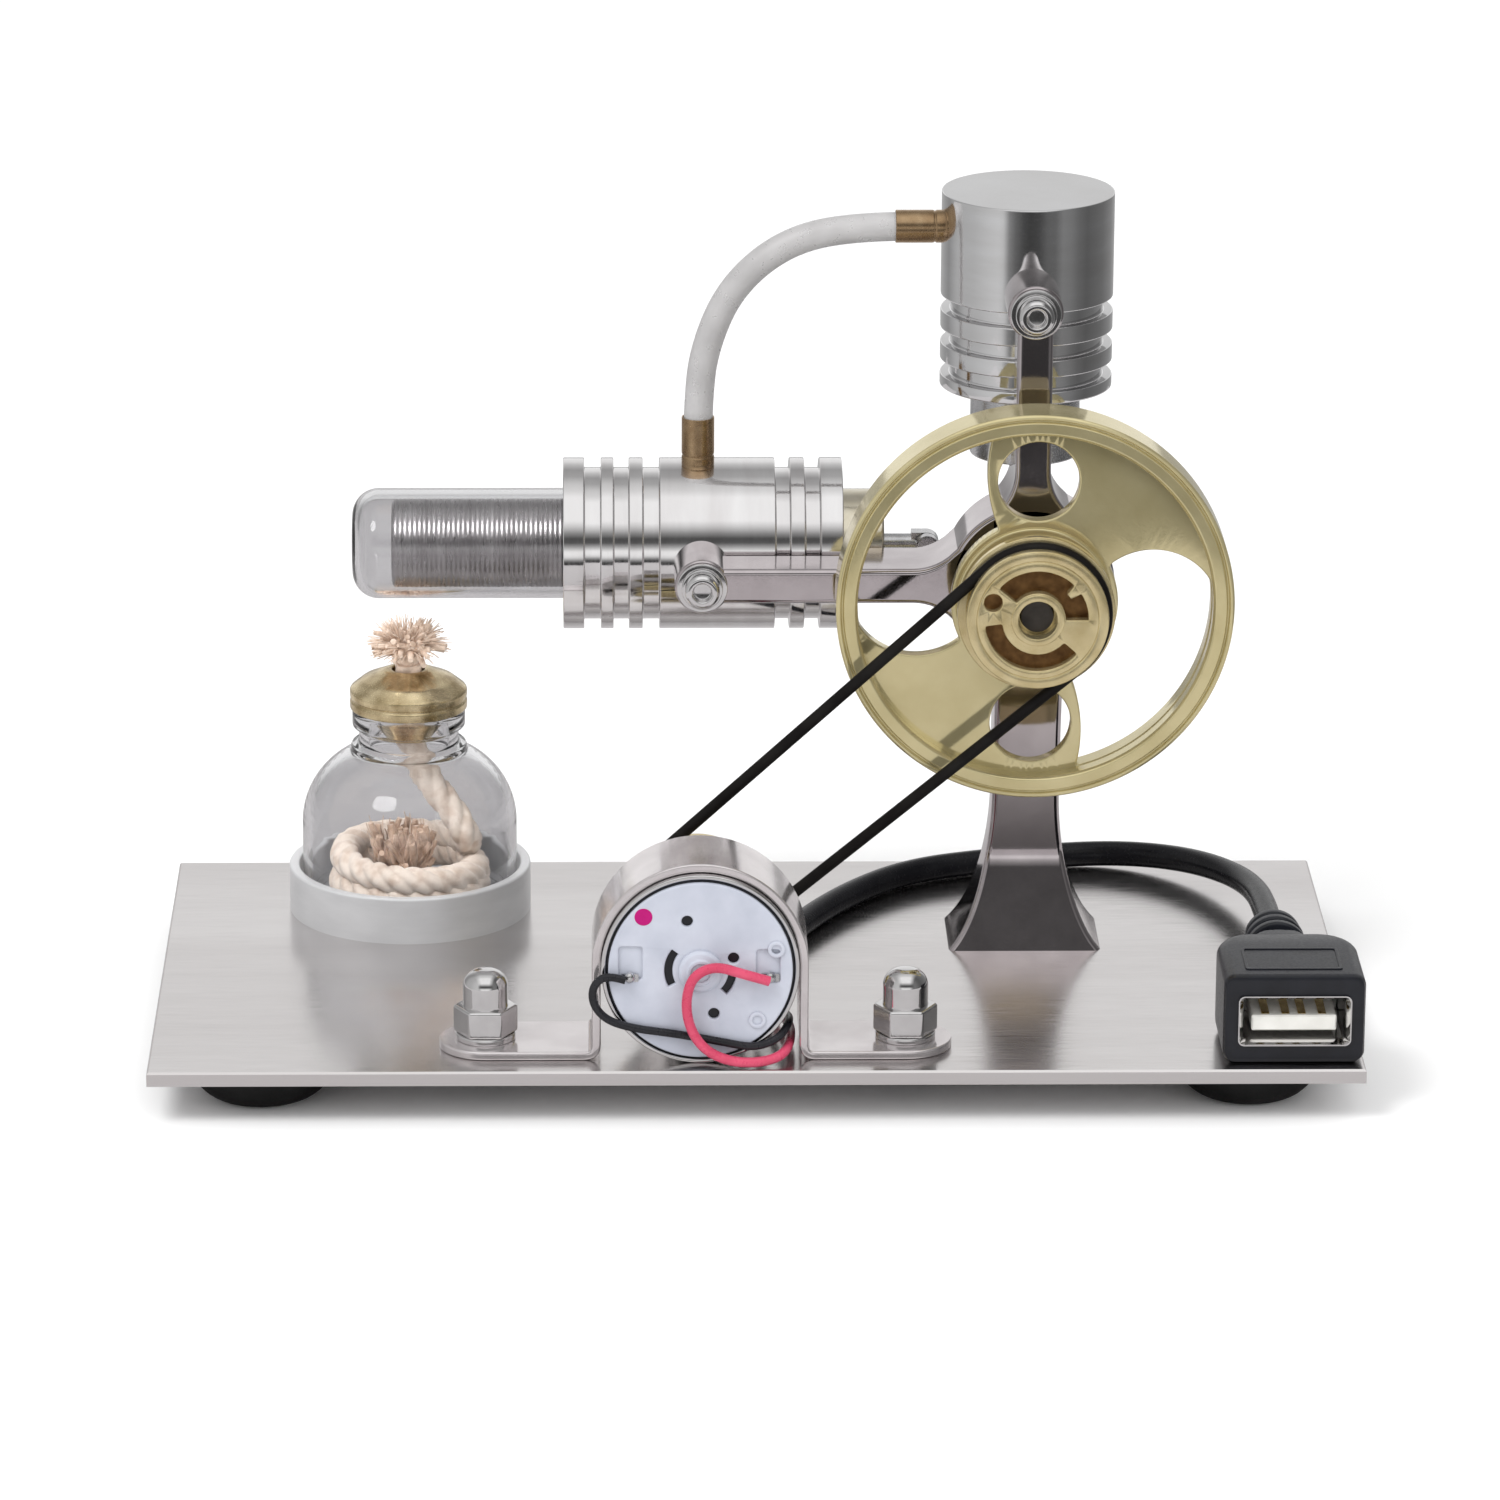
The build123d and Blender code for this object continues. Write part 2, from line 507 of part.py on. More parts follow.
def arc_slot(inner, outer, start, end):
    """Curved slot about the origin from one angle to another, as a flat face."""
    middle = (start + end) / 2

    def point(radius, angle):
        return radius * cos(radians(angle)), radius * sin(radians(angle))

    bow = ThreePointArc(point(outer, start), point(outer, middle), point(outer, end))
    back = ThreePointArc(point(inner, end), point(inner, middle), point(inner, start))
    return face_of(bow, Line(bow @ 1, back @ 0), back, Line(back @ 1, bow @ 0))


def drive_pulley():
    """Two flanges and a round groove, with pockets in the front face."""
    y0, floor = PULLEY_Y0, DRIVE_R - BELT_R - 0.06
    wheel = cyl("y", DRIVE_R + 0.15, y0, y0 + FLANGE_T, SHAFT_X, SHAFT_Z)
    wheel += cyl("y", floor, y0, WEB_Y0, SHAFT_X, SHAFT_Z)
    wheel += cyl("y", DRIVE_R + 1.15, BELT_Y + GROOVE_HALF, BELT_Y + GROOVE_HALF + FLANGE_T,
                 SHAFT_X, SHAFT_Z)
    pockets = arc_slot(4.5, 6.6, 187, 318) + arc_slot(3.5, 6.3, 0, 140)
    pockets += Pos(-6.2, 2.4) * Circle(1.4)
    pockets -= arc_slot(4.6, 6.5, 33, 44)
    depth = 2.6
    place = Pos(SHAFT_X, y0, SHAFT_Z) * Rot(90, 0, 0)
    wheel -= extrude(place * pockets, amount=depth, dir=(0, 1, 0))
    wheel -= cyl("y", 2.45, y0 - 1, y0 + 1.8, SHAFT_X, SHAFT_Z)
    return wheel - cyl("y", SHAFT_R, y0, WEB_Y0 + 1, SHAFT_X, SHAFT_Z)


def crank_disc():
    x, z = CRANK_PIN
    disc = cyl("y", 7.0, DISC_Y0, DISC_Y1, SHAFT_X, SHAFT_Z)
    disc = chamfer(disc.edges().filter_by(GeomType.CIRCLE), 0.3)
    disc += cyl("y", 2.8, WEB_Y1 + 0.05, DISC_Y0, SHAFT_X, SHAFT_Z)
    disc -= cyl("y", SHAFT_R, WEB_Y1 - 1, DISC_Y1 + 1, SHAFT_X, SHAFT_Z)
    return disc - cyl("y", 1.26, DISC_Y0 - 1, DISC_Y1 + 1, x, z)


def crank_pin():
    """Shouldered screw that carries both connecting rods."""
    x, z = CRANK_PIN
    pin = cyl("y", 1.25, DISC_Y0, POWER_ROD_Y[1] + 0.2, x, z)
    pin += cyl("y", 1.9, DISC_Y1, HOT_ROD_Y[0] - 0.1, x, z)
    return pin + cyl("y", 2.0, POWER_ROD_Y[1] + 0.15, POWER_ROD_Y[1] + 1.4, x, z)


def connecting_rod(big_end, small_end, span):
    """Flat bar with an eye at each end, between two points of the XZ plane."""
    (x0, z0), (x1, z1) = big_end, small_end
    length = hypot(x1 - x0, z1 - z0)
    bar = Pos(length / 2, 0) * Rectangle(length, 2.0) + Circle(2.4) + Pos(length, 0) * Circle(1.6)
    bar -= Circle(1.28) + Pos(length, 0) * Circle(0.83)
    angle = degrees(asin((z1 - z0) / length))
    if x1 < x0:
        angle = 180 - angle
    flat = Pos(x0, 0, z0) * Rot(90, 0, 0) * Rot(0, 0, angle) * bar
    return extrude_y(flat, *span)


def displacer_conrod():
    return connecting_rod(CRANK_PIN, (HOT_WRIST_X, SHAFT_Z), HOT_ROD_Y)


def displacer_wrist_pin():
    """Riveted in the rod's eye. It stops just short of the tongue."""
    y0, y1 = HOT_ROD_Y
    pin = cyl("y", 0.82, y0, y1 - 0.05, HOT_WRIST_X, SHAFT_Z)
    return pin + cyl("y", 1.4, y0 - 0.5, y0, HOT_WRIST_X, SHAFT_Z)


def power_conrod():
    return connecting_rod(CRANK_PIN, (SHAFT_X, COLD_WRIST_Z), POWER_ROD_Y)


def power_wrist_pin():
    """Riveted in the rod's eye. It stops just short of the fork's cheeks."""
    y0, y1 = POWER_ROD_Y
    return cyl("y", 0.82, y0 - 0.12, y1 + 0.12, SHAFT_X, COLD_WRIST_Z)


# ---- generator ----

def drive_belt():
    """Round belt: two tangent runs and the arcs round both pulleys."""
    dx, dz = SHAFT_X - MOTOR_X, SHAFT_Z - MOTOR_Z
    span = hypot(dx, dz)
    along = Vector(dx, dz) / span
    across = Vector(-along.Y, along.X)
    lean = asin((DRIVE_R - MOTOR_PULLEY_R) / span)
    ends = []
    for side in (1, -1):
        normal = across * side * cos(lean) - along * sin(lean)
        ends.append([Vector(MOTOR_X, MOTOR_Z) + normal * MOTOR_PULLEY_R,
                     Vector(SHAFT_X, SHAFT_Z) + normal * DRIVE_R])
    far = Vector(SHAFT_X, SHAFT_Z) + along * DRIVE_R
    near = Vector(MOTOR_X, MOTOR_Z) - along * MOTOR_PULLEY_R
    (upper_m, upper_s), (lower_m, lower_s) = ends

    def lift(v):
        return v.X, BELT_Y, v.Y

    loop = Line(lift(upper_m), lift(upper_s)) + ThreePointArc(lift(upper_s), lift(far), lift(lower_s))
    loop += Line(lift(lower_s), lift(lower_m)) + ThreePointArc(lift(lower_m), lift(near), lift(upper_m))
    path = Wire(loop.edges())
    section = Plane(origin=path @ 0, z_dir=path % 0) * Circle(BELT_R)
    return sweep(section, path=path)


def at_motor(shape):
    """Moves a shape that is made along +Z from the cap's face to the motor, along +Y."""
    return Pos(MOTOR_X, CAP_Y0, MOTOR_Z) * Rot(-90, 0, 0) * shape


def motor_can():
    can = cyl("y", CAN_R, CAN_Y0, CAN_Y1, MOTOR_X, MOTOR_Z)
    can = fillet(can.edges().group_by(Axis.Y)[-1], 0.8)
    can += cyl("y", 3.0, CAN_Y1 - 0.5, CAN_Y1 + 1.2, MOTOR_X, MOTOR_Z)
    can -= cyl("y", CAN_R - CAN_T, CAN_Y0 - 1, CAN_Y1 - 0.8, MOTOR_X, MOTOR_Z)
    return can - cyl("y", BUSH_R, CAN_Y1 - 2, CAN_Y1 + 2, MOTOR_X, MOTOR_Z)


def motor_end_cap():
    """Moulded cap with a shaft boss, cooling slots, three holes, two recesses and raised marks."""
    x0, z0, y0 = MOTOR_X, MOTOR_Z, CAP_Y0
    cap = cyl("y", CAN_R - CAN_T - 0.03, y0, y0 + 1.1, x0, z0)
    cap += cyl("y", 2.7, y0 - 0.7, y0, x0, z0)
    for dx, dz in ((9.3, 2.8), (7.0, -6.4)):
        cap += ring("y", 1.05, 0.6, y0 - 0.25, y0 + 0.3, x0 + dx, z0 + dz)
    for dx, dz in ((-1.65, 6.4), (4.05, 1.6), (1.65, -5.6)):
        cap -= cyl("y", 0.6, y0 - 1, y0 + 2, x0 + dx, z0 + dz)
    slots = arc_slot(3.5, 4.2, 142, 205) + arc_slot(3.5, 4.2, 318, 355)
    cap -= extrude(Pos(x0, y0 - 1, z0) * Rot(90, 0, 0) * slots, amount=3, dir=(0, 1, 0))
    for dx, dz in TERMINALS:
        cap -= block((x0 + dx - 1.6, x0 + dx + 1.6), (y0 - 1, y0 + 0.4), (z0 + dz - 1.6, z0 + dz + 3.4))
    return cap - cyl("y", BUSH_R, y0 - 1, y0 + 2, x0, z0)


def motor_terminals():
    tabs = []
    for dx, dz in TERMINALS:
        x, z = MOTOR_X + dx, MOTOR_Z + dz
        tabs.append(block((x - 1.0, x + 1.0), (CAP_Y0 - 0.25, CAP_Y0 + 0.4), (z - 0.25, z + 0.25)))
    return tabs


def motor_magnets():
    """Two curved magnets inside the can."""
    magnets = []
    for middle in (90, 270):
        arc = arc_slot(10.0, CAN_R - CAN_T - 0.02, middle - 62, middle + 62)
        flat = Pos(MOTOR_X, 0, MOTOR_Z) * Rot(90, 0, 0) * arc
        magnets.append(extrude_y(flat, CAN_Y0 + 1.0, CAN_Y1 - 1.2))
    return magnets


def motor_bushes():
    bushes = []
    for start in (CAP_Y0 - 0.7, CAN_Y1 - 0.8):
        bushes.append(ring("y", BUSH_R - 0.01, MOTOR_SHAFT_R + 0.03, start, start + 1.7,
                           MOTOR_X, MOTOR_Z))
    return bushes


def motor_shaft():
    return cyl("y", MOTOR_SHAFT_R, CAP_Y0 - 0.3, PULLEY_Y1 + 0.2, MOTOR_X, MOTOR_Z)


def motor_armature():
    """Three-pole iron core."""
    core = Circle(9.5)
    for turn in (30, 150, 270):
        core -= Rot(0, 0, turn) * (Pos(6.0, 0) * Rectangle(6.0, 5.0) + Pos(9.0, 0) * Rectangle(3.0, 1.2))
    core -= Circle(MOTOR_SHAFT_R)
    flat = Pos(MOTOR_X, 0, MOTOR_Z) * Rot(90, 0, 0) * core
    return extrude_y(flat, CAN_Y0 + 2.6, CAN_Y1 - 1.8)


def motor_commutator():
    return ring("y", 2.3, MOTOR_SHAFT_R, CAN_Y0 + 1.0, CAN_Y0 + 2.55, MOTOR_X, MOTOR_Z)


def motor_pulley():
    floor, y0, y1 = MOTOR_PULLEY_R - BELT_R - 0.06, PULLEY_Y0, PULLEY_Y1
    wheel = cyl("y", floor, y0, y1, MOTOR_X, MOTOR_Z)
    wheel += cyl("y", MOTOR_PULLEY_R + 0.25, y0, y0 + FLANGE_T, MOTOR_X, MOTOR_Z)
    wheel += cyl("y", MOTOR_PULLEY_R + 0.25, y1 - FLANGE_T, y1, MOTOR_X, MOTOR_Z)
    wheel += cyl("y", 2.6, y0 - 3.0, y0, MOTOR_X, MOTOR_Z)
    return wheel - cyl("y", MOTOR_SHAFT_R, y0 - 4, y1 + 1, MOTOR_X, MOTOR_Z)


def motor_strap():
    """Bent steel strap: half ring, two legs and two feet with round ends."""
    inner = CAN_R + 0.05
    outer = inner + STRAP_T
    drop = MOTOR_Z - PLATE_Z
    left, right = STUD_X[0] - MOTOR_X, STUD_X[1] - MOTOR_X
    profile = Circle(outer) + Pos(0, -drop / 2) * Rectangle(2 * outer, drop)
    profile += Pos((left + right) / 2, STRAP_T / 2 - drop) * Rectangle(right - left, STRAP_T)
    profile = fillet(profile.vertices().filter_by(lambda v: abs(abs(v.X) - outer) < 0.01), 1.6)
    profile -= Circle(inner) + Pos(0, -drop / 2 - 5) * Rectangle(2 * inner, drop + 10)
    flat = Pos(MOTOR_X, 0, MOTOR_Z) * Rot(90, 0, 0) * profile
    strap = extrude_y(flat, STRAP_Y0, STRAP_Y1)
    for x in STUD_X:
        strap += cyl("z", (STRAP_Y1 - STRAP_Y0) / 2, PLATE_Z, PLATE_Z + STRAP_T, x, STRAP_Y)
        strap -= cyl("z", STUD_R + 0.1, PLATE_Z - 1, PLATE_Z + 3, x, STRAP_Y)
    return strap


def strap_studs():
    return [cyl("z", 3.4, FOOT_H - 1.6, FOOT_H, x, STRAP_Y)
            + cyl("z", STUD_R, FOOT_H, PLATE_Z + 7.5, x, STRAP_Y) for x in STUD_X]


def strap_washers():
    z = PLATE_Z + STRAP_T
    return [ring("z", 3.75, STUD_R + 0.05, z, z + 0.8, x, STRAP_Y) for x in STUD_X]


def cap_nut():
    """Domed nut on z = 0: hexagon, collar and dome."""
    hexagon = extrude(RegularPolygon(3.5 / cos(radians(30)), 6), 3.5)
    hexagon &= turned_outline([(0, 0), (3.7, 0), (4.05, 0.35), (4.05, 3.15), (3.5, 3.5), (0, 3.5)])
    dome = turned(Polyline((0, 0, 3.4), (2.8, 0, 3.4), (2.8, 0, 6.0)),
                  ThreePointArc((2.8, 0, 6.0), (2.2, 0, 7.4), (0.8, 0, 8.1)),
                  Polyline((0.8, 0, 8.1), (0, 0, 8.1), (0, 0, 3.4)))
    return hexagon + dome - Cylinder(STUD_R + 0.02, 11.6)


def cap_nuts():
    return [Pos(x, STRAP_Y, PLATE_Z + STRAP_T + 0.8) * cap_nut() for x in STUD_X]


# ---- leads, cable and socket ----

HOSE_ROUTE = [(21.45, ENGINE_Y, 98.1), (12.9, ENGINE_Y, 98.1), (4.3, ENGINE_Y, 96.0),
              (-2.5, ENGINE_Y, 90.1), (-5.9, ENGINE_Y, 81.9), (-6.6, ENGINE_Y, 74.5),
              (-6.6, ENGINE_Y, 70.05)]

RED_ROUTE = [(1.4, -38.4, 18.2), (-2.0, -39.0, 19.4), (-5.2, -39.2, 20.5), (-8.0, -39.2, 19.2),
             (-8.9, -39.2, 15.8), (-8.3, -39.2, 12.2), (-6.4, -39.2, 9.4), (-3.2, -39.1, 7.9),
             (0.5, -38.9, 7.75), (3.2, -37.8, 8.3), (4.2, -34.2, 8.9), (4.3, -27.0, 8.6),
             (2.25, -18.9, 8.7), (2.25, -12.0, 8.7)]

BLACK_ROUTE = [(-16.2, -38.3, 18.3), (-18.4, -38.1, 19.0), (-20.2, -37.95, 17.6),
               (-20.3, -37.95, 15.2), (-18.6, -37.95, 13.0), (-15.2, -37.95, 11.9),
               (-10.0, -37.95, 11.2), (-4.6, -37.95, 10.2), (-0.4, -37.95, 9.3),
               (2.6, -37.2, 10.2), (4.0, -34.8, 11.4), (4.1, -30.6, 11.0), (2.7, -25.2, 9.6),
               (0.95, -18.4, 8.7), (0.95, -12.0, 8.7)]

CABLE_ROUTE = [(1.6, -12.0, 8.7), (1.6, -3.2, 8.7), (6.2, 9.4, 8.7), (12.9, 21.4, 8.7),
               (21.5, 31.0, 8.7), (33.2, 35.3, 8.7), (46.5, 38.3, 8.7), (54.9, 37.1, 8.7),
               (62.0, 32.3, 8.7), (66.4, 25.2, 8.7), (68.0, 16.8, 9.3), (67.0, 7.2, 11.0),
               (66.2, -3.6, 12.65)]


def red_lead():
    return cord_tube("red_lead", RED_ROUTE, RED_LEAD_D)


def black_lead():
    return cord_tube("black_lead", BLACK_ROUTE, BLACK_LEAD_D)


def usb_cable():
    return cord_tube("usb_cable", CABLE_ROUTE, USB_CABLE_D)


def usb_boot():
    """Ribbed strain relief round the cable's end."""
    boot = cyl("y", 3.2, USB_Y2, -3.4, USB_X, USB_Z)
    for y in (-13.2, -10.6, -8.0):
        boot += cyl("y", 4.0, y, y + 1.5, USB_X, USB_Z)
    return boot - cyl("y", USB_CABLE_D / 2 + 0.1, -4.0, -2.0, USB_X, USB_Z)


def usb_body():
    """Moulded block with shoulders that narrow to the cable."""
    half, throat = USB_W / 2, 4.3
    plan = Polyline((-half, USB_Y0), (half, USB_Y0), (half, USB_Y1), (throat, USB_Y2),
                    (-throat, USB_Y2), (-half, USB_Y1), close=True)
    body = extrude(make_face(plan.edges()), USB_H)
    body = fillet(body.edges().filter_by(Axis.Z), 1.4)
    body = fillet(body.edges().group_by(Axis.Z)[-1], 0.9)
    body = Pos(USB_X, 0, PLATE_Z + 0.02) * body
    return body - block((USB_X - SHELL_W / 2 - 0.05, USB_X + SHELL_W / 2 + 0.05), (USB_Y0 - 1, -24.0),
                        (USB_Z - SHELL_H / 2 - 0.05, USB_Z + SHELL_H / 2 + 0.05))


def rounded_frame(width, height, wall, corner):
    """Rectangular tube section in the XZ plane, centred on the socket."""
    section = RectangleRounded(width, height, corner)
    section -= RectangleRounded(width - 2 * wall, height - 2 * wall, corner - wall / 2)
    return Pos(USB_X, 0, USB_Z) * Rot(90, 0, 0) * section


def usb_shell():
    shell = extrude_y(rounded_frame(SHELL_W, SHELL_H, SHELL_T, 0.6), USB_Y0 - 0.3, -24.2)
    lip = extrude_y(rounded_frame(SHELL_W + 0.9, SHELL_H + 0.8, SHELL_T + 0.4, 0.8),
                    USB_Y0 - 0.35, USB_Y0 - 0.02)
    return shell + lip


def usb_tongue():
    """Plastic tongue on a block at the back of the shell."""
    inner_w, inner_h = SHELL_W / 2 - SHELL_T - 0.05, SHELL_H / 2 - SHELL_T - 0.05
    back = block((USB_X - inner_w, USB_X + inner_w), (-27.5, -24.3),
                 (USB_Z - inner_h + 0.2, USB_Z + inner_h - 0.2))
    back = fillet(back.edges().filter_by(Axis.Y), 0.4)
    return back + block((USB_X - 5.25, USB_X + 5.25), (-37.0, -27.4), (TONGUE_Z, TONGUE_Z + 2.0))


def usb_contacts():
    return [block((USB_X + dx - 0.5, USB_X + dx + 0.5), (-36.4, -27.5),
                  (TONGUE_Z + 2.0, TONGUE_Z + 2.15)) for dx in (-3.5, -1.0, 1.0, 3.5)]


# ---- derived places ----

STRAP_Y = (STRAP_Y0 + STRAP_Y1) / 2
STAND_SCREWS = ((SHAFT_X - 5.0, 11.0), (SHAFT_X + 5.0, 11.0))
BOTTLE_Z = PLATE_Z + LAMP_FLOOR_T
SEAL_X = HOT_X0 + 1.9
HOT_PORT_Z0 = SHAFT_Z + BARREL_R - 0.25
COLD_PORT_X1 = SHAFT_X - BARREL_R + 0.25
PULLEY_Y0 = BELT_Y - GROOVE_HALF - FLANGE_T
PULLEY_Y1 = BELT_Y + GROOVE_HALF + FLANGE_T
DISC_Y0, DISC_Y1 = WEB_Y1 + 0.9, WEB_Y1 + 3.7
HOT_ROD_Y = (ENGINE_Y - 2.6, ENGINE_Y - 1.2)
POWER_ROD_Y = (ENGINE_Y - 0.7, ENGINE_Y + 0.7)
CRANK_PIN = polar(CRANK_R, CRANK_ANGLE)
HOT_WRIST_X = CRANK_PIN[0] - sqrt(DISPLACER_ROD_L ** 2 - (CRANK_PIN[1] - SHAFT_Z) ** 2)
COLD_WRIST_Z = CRANK_PIN[1] + sqrt(POWER_ROD_L ** 2 - (CRANK_PIN[0] - SHAFT_X) ** 2)
MOTOR_SHAFT_R, BUSH_R = 1.0, 1.9
TERMINALS = ((-8.7, -0.7), (8.6, -1.1))
TONGUE_Z = USB_Z - 1.7

SUBPARTS = (
    base_plate, rubber_feet,
    lamp_ring, lamp_bottle, lamp_cap, wick_tuft, wick_rope, wick_coil,
    stand_casting, stand_screws, bearing_outer_rings, bearing_inner_rings, bearing_balls,
    arm_screws, arm_washers,
    displacer_cylinder, rod_guide, glass_tube, tube_seal, displacer, displacer_rod,
    power_cylinder, power_liner, power_piston, piston_fork,
    displacer_port, power_port, air_hose,
    crankshaft, flywheel, hub_screw, drive_pulley, crank_disc, crank_pin,
    displacer_conrod, displacer_wrist_pin, power_conrod, power_wrist_pin,
    drive_belt, motor_can, motor_end_cap, motor_terminals, motor_magnets, motor_bushes,
    motor_shaft, motor_armature, motor_commutator, motor_pulley,
    motor_strap, strap_studs, strap_washers, cap_nuts,
    red_lead, black_lead, usb_cable, usb_boot, usb_body, usb_shell, usb_tongue, usb_contacts,
)


def main():
    os.makedirs("parts", exist_ok=True)
    for build in SUBPARTS:
        shape = build()
        if isinstance(shape, list):
            shape = Compound(children=shape)
        export_step(shape, f"parts/{build.__name__}.step")
    print(f"displacer wrist at x {HOT_WRIST_X:.3f}, power wrist at z {COLD_WRIST_Z:.3f}")
    print(f"{len(SUBPARTS)} nodes")


main()
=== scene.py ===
import math
import random

import bmesh
import bpy
from mathutils import Matrix, Vector
from mathutils.geometry import delaunay_2d_cdt


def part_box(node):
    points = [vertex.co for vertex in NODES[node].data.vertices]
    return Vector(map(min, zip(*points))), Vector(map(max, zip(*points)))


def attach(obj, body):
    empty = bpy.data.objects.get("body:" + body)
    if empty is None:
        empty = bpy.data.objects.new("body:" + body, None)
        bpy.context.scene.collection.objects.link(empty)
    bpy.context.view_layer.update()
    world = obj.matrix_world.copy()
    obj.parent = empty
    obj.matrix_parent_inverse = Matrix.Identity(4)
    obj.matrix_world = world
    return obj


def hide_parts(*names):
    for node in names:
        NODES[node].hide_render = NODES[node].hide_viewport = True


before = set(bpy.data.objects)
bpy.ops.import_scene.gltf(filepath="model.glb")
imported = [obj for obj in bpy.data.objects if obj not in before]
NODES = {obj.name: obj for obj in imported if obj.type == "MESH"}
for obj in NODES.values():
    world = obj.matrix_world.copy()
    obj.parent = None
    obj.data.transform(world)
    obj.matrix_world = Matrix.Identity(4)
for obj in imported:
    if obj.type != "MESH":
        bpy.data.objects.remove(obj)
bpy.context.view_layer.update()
MM = 0.001
SEGMENTS = 144


# ---- places, in millimetres ----

def place(node):
    """Lowest corner, highest corner and middle of a node."""
    low, high = (Vector(p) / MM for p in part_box(node))
    return low, high, (low + high) / 2


PLATE_TOP = place("base_plate")[1].z
SHAFT = place("bearing_outer_rings")[2]
HOT_LOW, HOT_HIGH, HOT = place("displacer_cylinder")
COLD_LOW, COLD_HIGH, COLD = place("power_cylinder")
MOTOR = place("motor_can")[2]
LAMP = place("lamp_ring")[2]
SOCKET_LOW, SOCKET_HIGH, SOCKET = place("usb_body")
SHELL_LOW, SHELL_HIGH, SHELL = place("usb_shell")
WHEEL_HIGH = place("flywheel")[1]


# ---- outlines ----

def soften(points, radius, closed=True, steps=4):
    """The outline with each corner rounded. Points are (a, b) pairs."""
    rounded, count = [], len(points)
    for i, here in enumerate(points):
        if not closed and i in (0, count - 1):
            rounded.append(tuple(here))
            continue
        here = Vector(here)
        before, after = Vector(points[i - 1]), Vector(points[(i + 1) % count])
        back, on = before - here, after - here
        reach = min(radius, 0.45 * back.length, 0.45 * on.length)
        start, end = here + back.normalized() * reach, here + on.normalized() * reach
        for k in range(steps + 1):
            t = k / steps
            rounded.append(tuple(start * (1 - t) ** 2 + here * 2 * t * (1 - t) + end * t * t))
    return rounded


def arc(first, middle, last, steps=12):
    """Points on the circle through three points, from the first to the last."""
    (ax, ay), (bx, by), (cx, cy) = first, middle, last
    d = 2 * (ax * (by - cy) + bx * (cy - ay) + cx * (ay - by))
    a2, b2, c2 = ax * ax + ay * ay, bx * bx + by * by, cx * cx + cy * cy
    ox = (a2 * (by - cy) + b2 * (cy - ay) + c2 * (ay - by)) / d
    oy = (a2 * (cx - bx) + b2 * (ax - cx) + c2 * (bx - ax)) / d
    start = math.atan2(ay - oy, ax - ox)
    swing = math.remainder(math.atan2(cy - oy, cx - ox) - start, 2 * math.pi)
    half = math.remainder(math.atan2(by - oy, bx - ox) - start, 2 * math.pi)
    if swing * half < 0:
        swing -= math.copysign(2 * math.pi, swing)
    radius = math.hypot(ax - ox, ay - oy)
    angles = [start + swing * k / steps for k in range(steps + 1)]
    return [(ox + radius * math.cos(a), oy + radius * math.sin(a)) for a in angles]


def circle(radius, x=0.0, y=0.0, count=96):
    angles = [2 * math.pi * k / count for k in range(count)]
    return [(x + radius * math.cos(a), y + radius * math.sin(a)) for a in angles]


def polar_arc(radius, start, end, steps=24):
    angles = [math.radians(start + (end - start) * k / steps) for k in range(steps + 1)]
    return [(radius * math.cos(a), radius * math.sin(a)) for a in angles]


def arc_slot(inner, outer, start, end, corner=0.3):
    outline = polar_arc(outer, start, end) + polar_arc(inner, end, start)
    return soften(outline, corner, steps=2)


def rounded_rect(half_w, half_h, corner, steps=5):
    """Anticlockwise outline about the origin."""
    points = []
    for turn, (sx, sy) in enumerate(((1, 1), (-1, 1), (-1, -1), (1, -1))):
        cx, cy = sx * (half_w - corner), sy * (half_h - corner)
        for k in range(steps + 1):
            a = math.radians(90 * turn + 90 * k / steps)
            points.append((cx + corner * math.cos(a), cy + corner * math.sin(a)))
    return points


def anticlockwise(points):
    area = sum(a[0] * b[1] - b[0] * a[1] for a, b in zip(points, points[1:] + points[:1]))
    return points if area > 0 else points[::-1]


def grown(points, distance):
    """An anticlockwise outline moved outwards by a distance."""
    moved, count = [], len(points)
    for i, (x, y) in enumerate(points):
        before, after = Vector(points[i - 1]), Vector(points[(i + 1) % count])
        a = (Vector((x, y)) - before).normalized()
        b = (after - Vector((x, y))).normalized()
        normal = Vector((a.y + b.y, -a.x - b.x)).normalized()
        lean = max(0.5, normal.dot(Vector((a.y, -a.x))))
        moved.append((x + normal.x * distance / lean, y + normal.y * distance / lean))
    return moved


# ---- shapes: pairs of corner and face lists ----

def join(*shapes):
    verts, faces = [], []
    for more_verts, more_faces in shapes:
        faces += [tuple(i + len(verts) for i in face) for face in more_faces]
        verts += more_verts
    return verts, faces


def moved(shape, matrix):
    return [matrix @ Vector(v) for v in shape[0]], shape[1]


def facing(axis, at):
    """Moves a shape made along +Z so that it lies along x, y or z through a point."""
    turns = {"x": Matrix(((0, 0, 1), (1, 0, 0), (0, 1, 0))),
             "y": Matrix(((1, 0, 0), (0, 0, 1), (0, 1, 0))),
             "z": Matrix.Identity(3)}
    return Matrix.Translation(at) @ turns[axis].to_4x4()


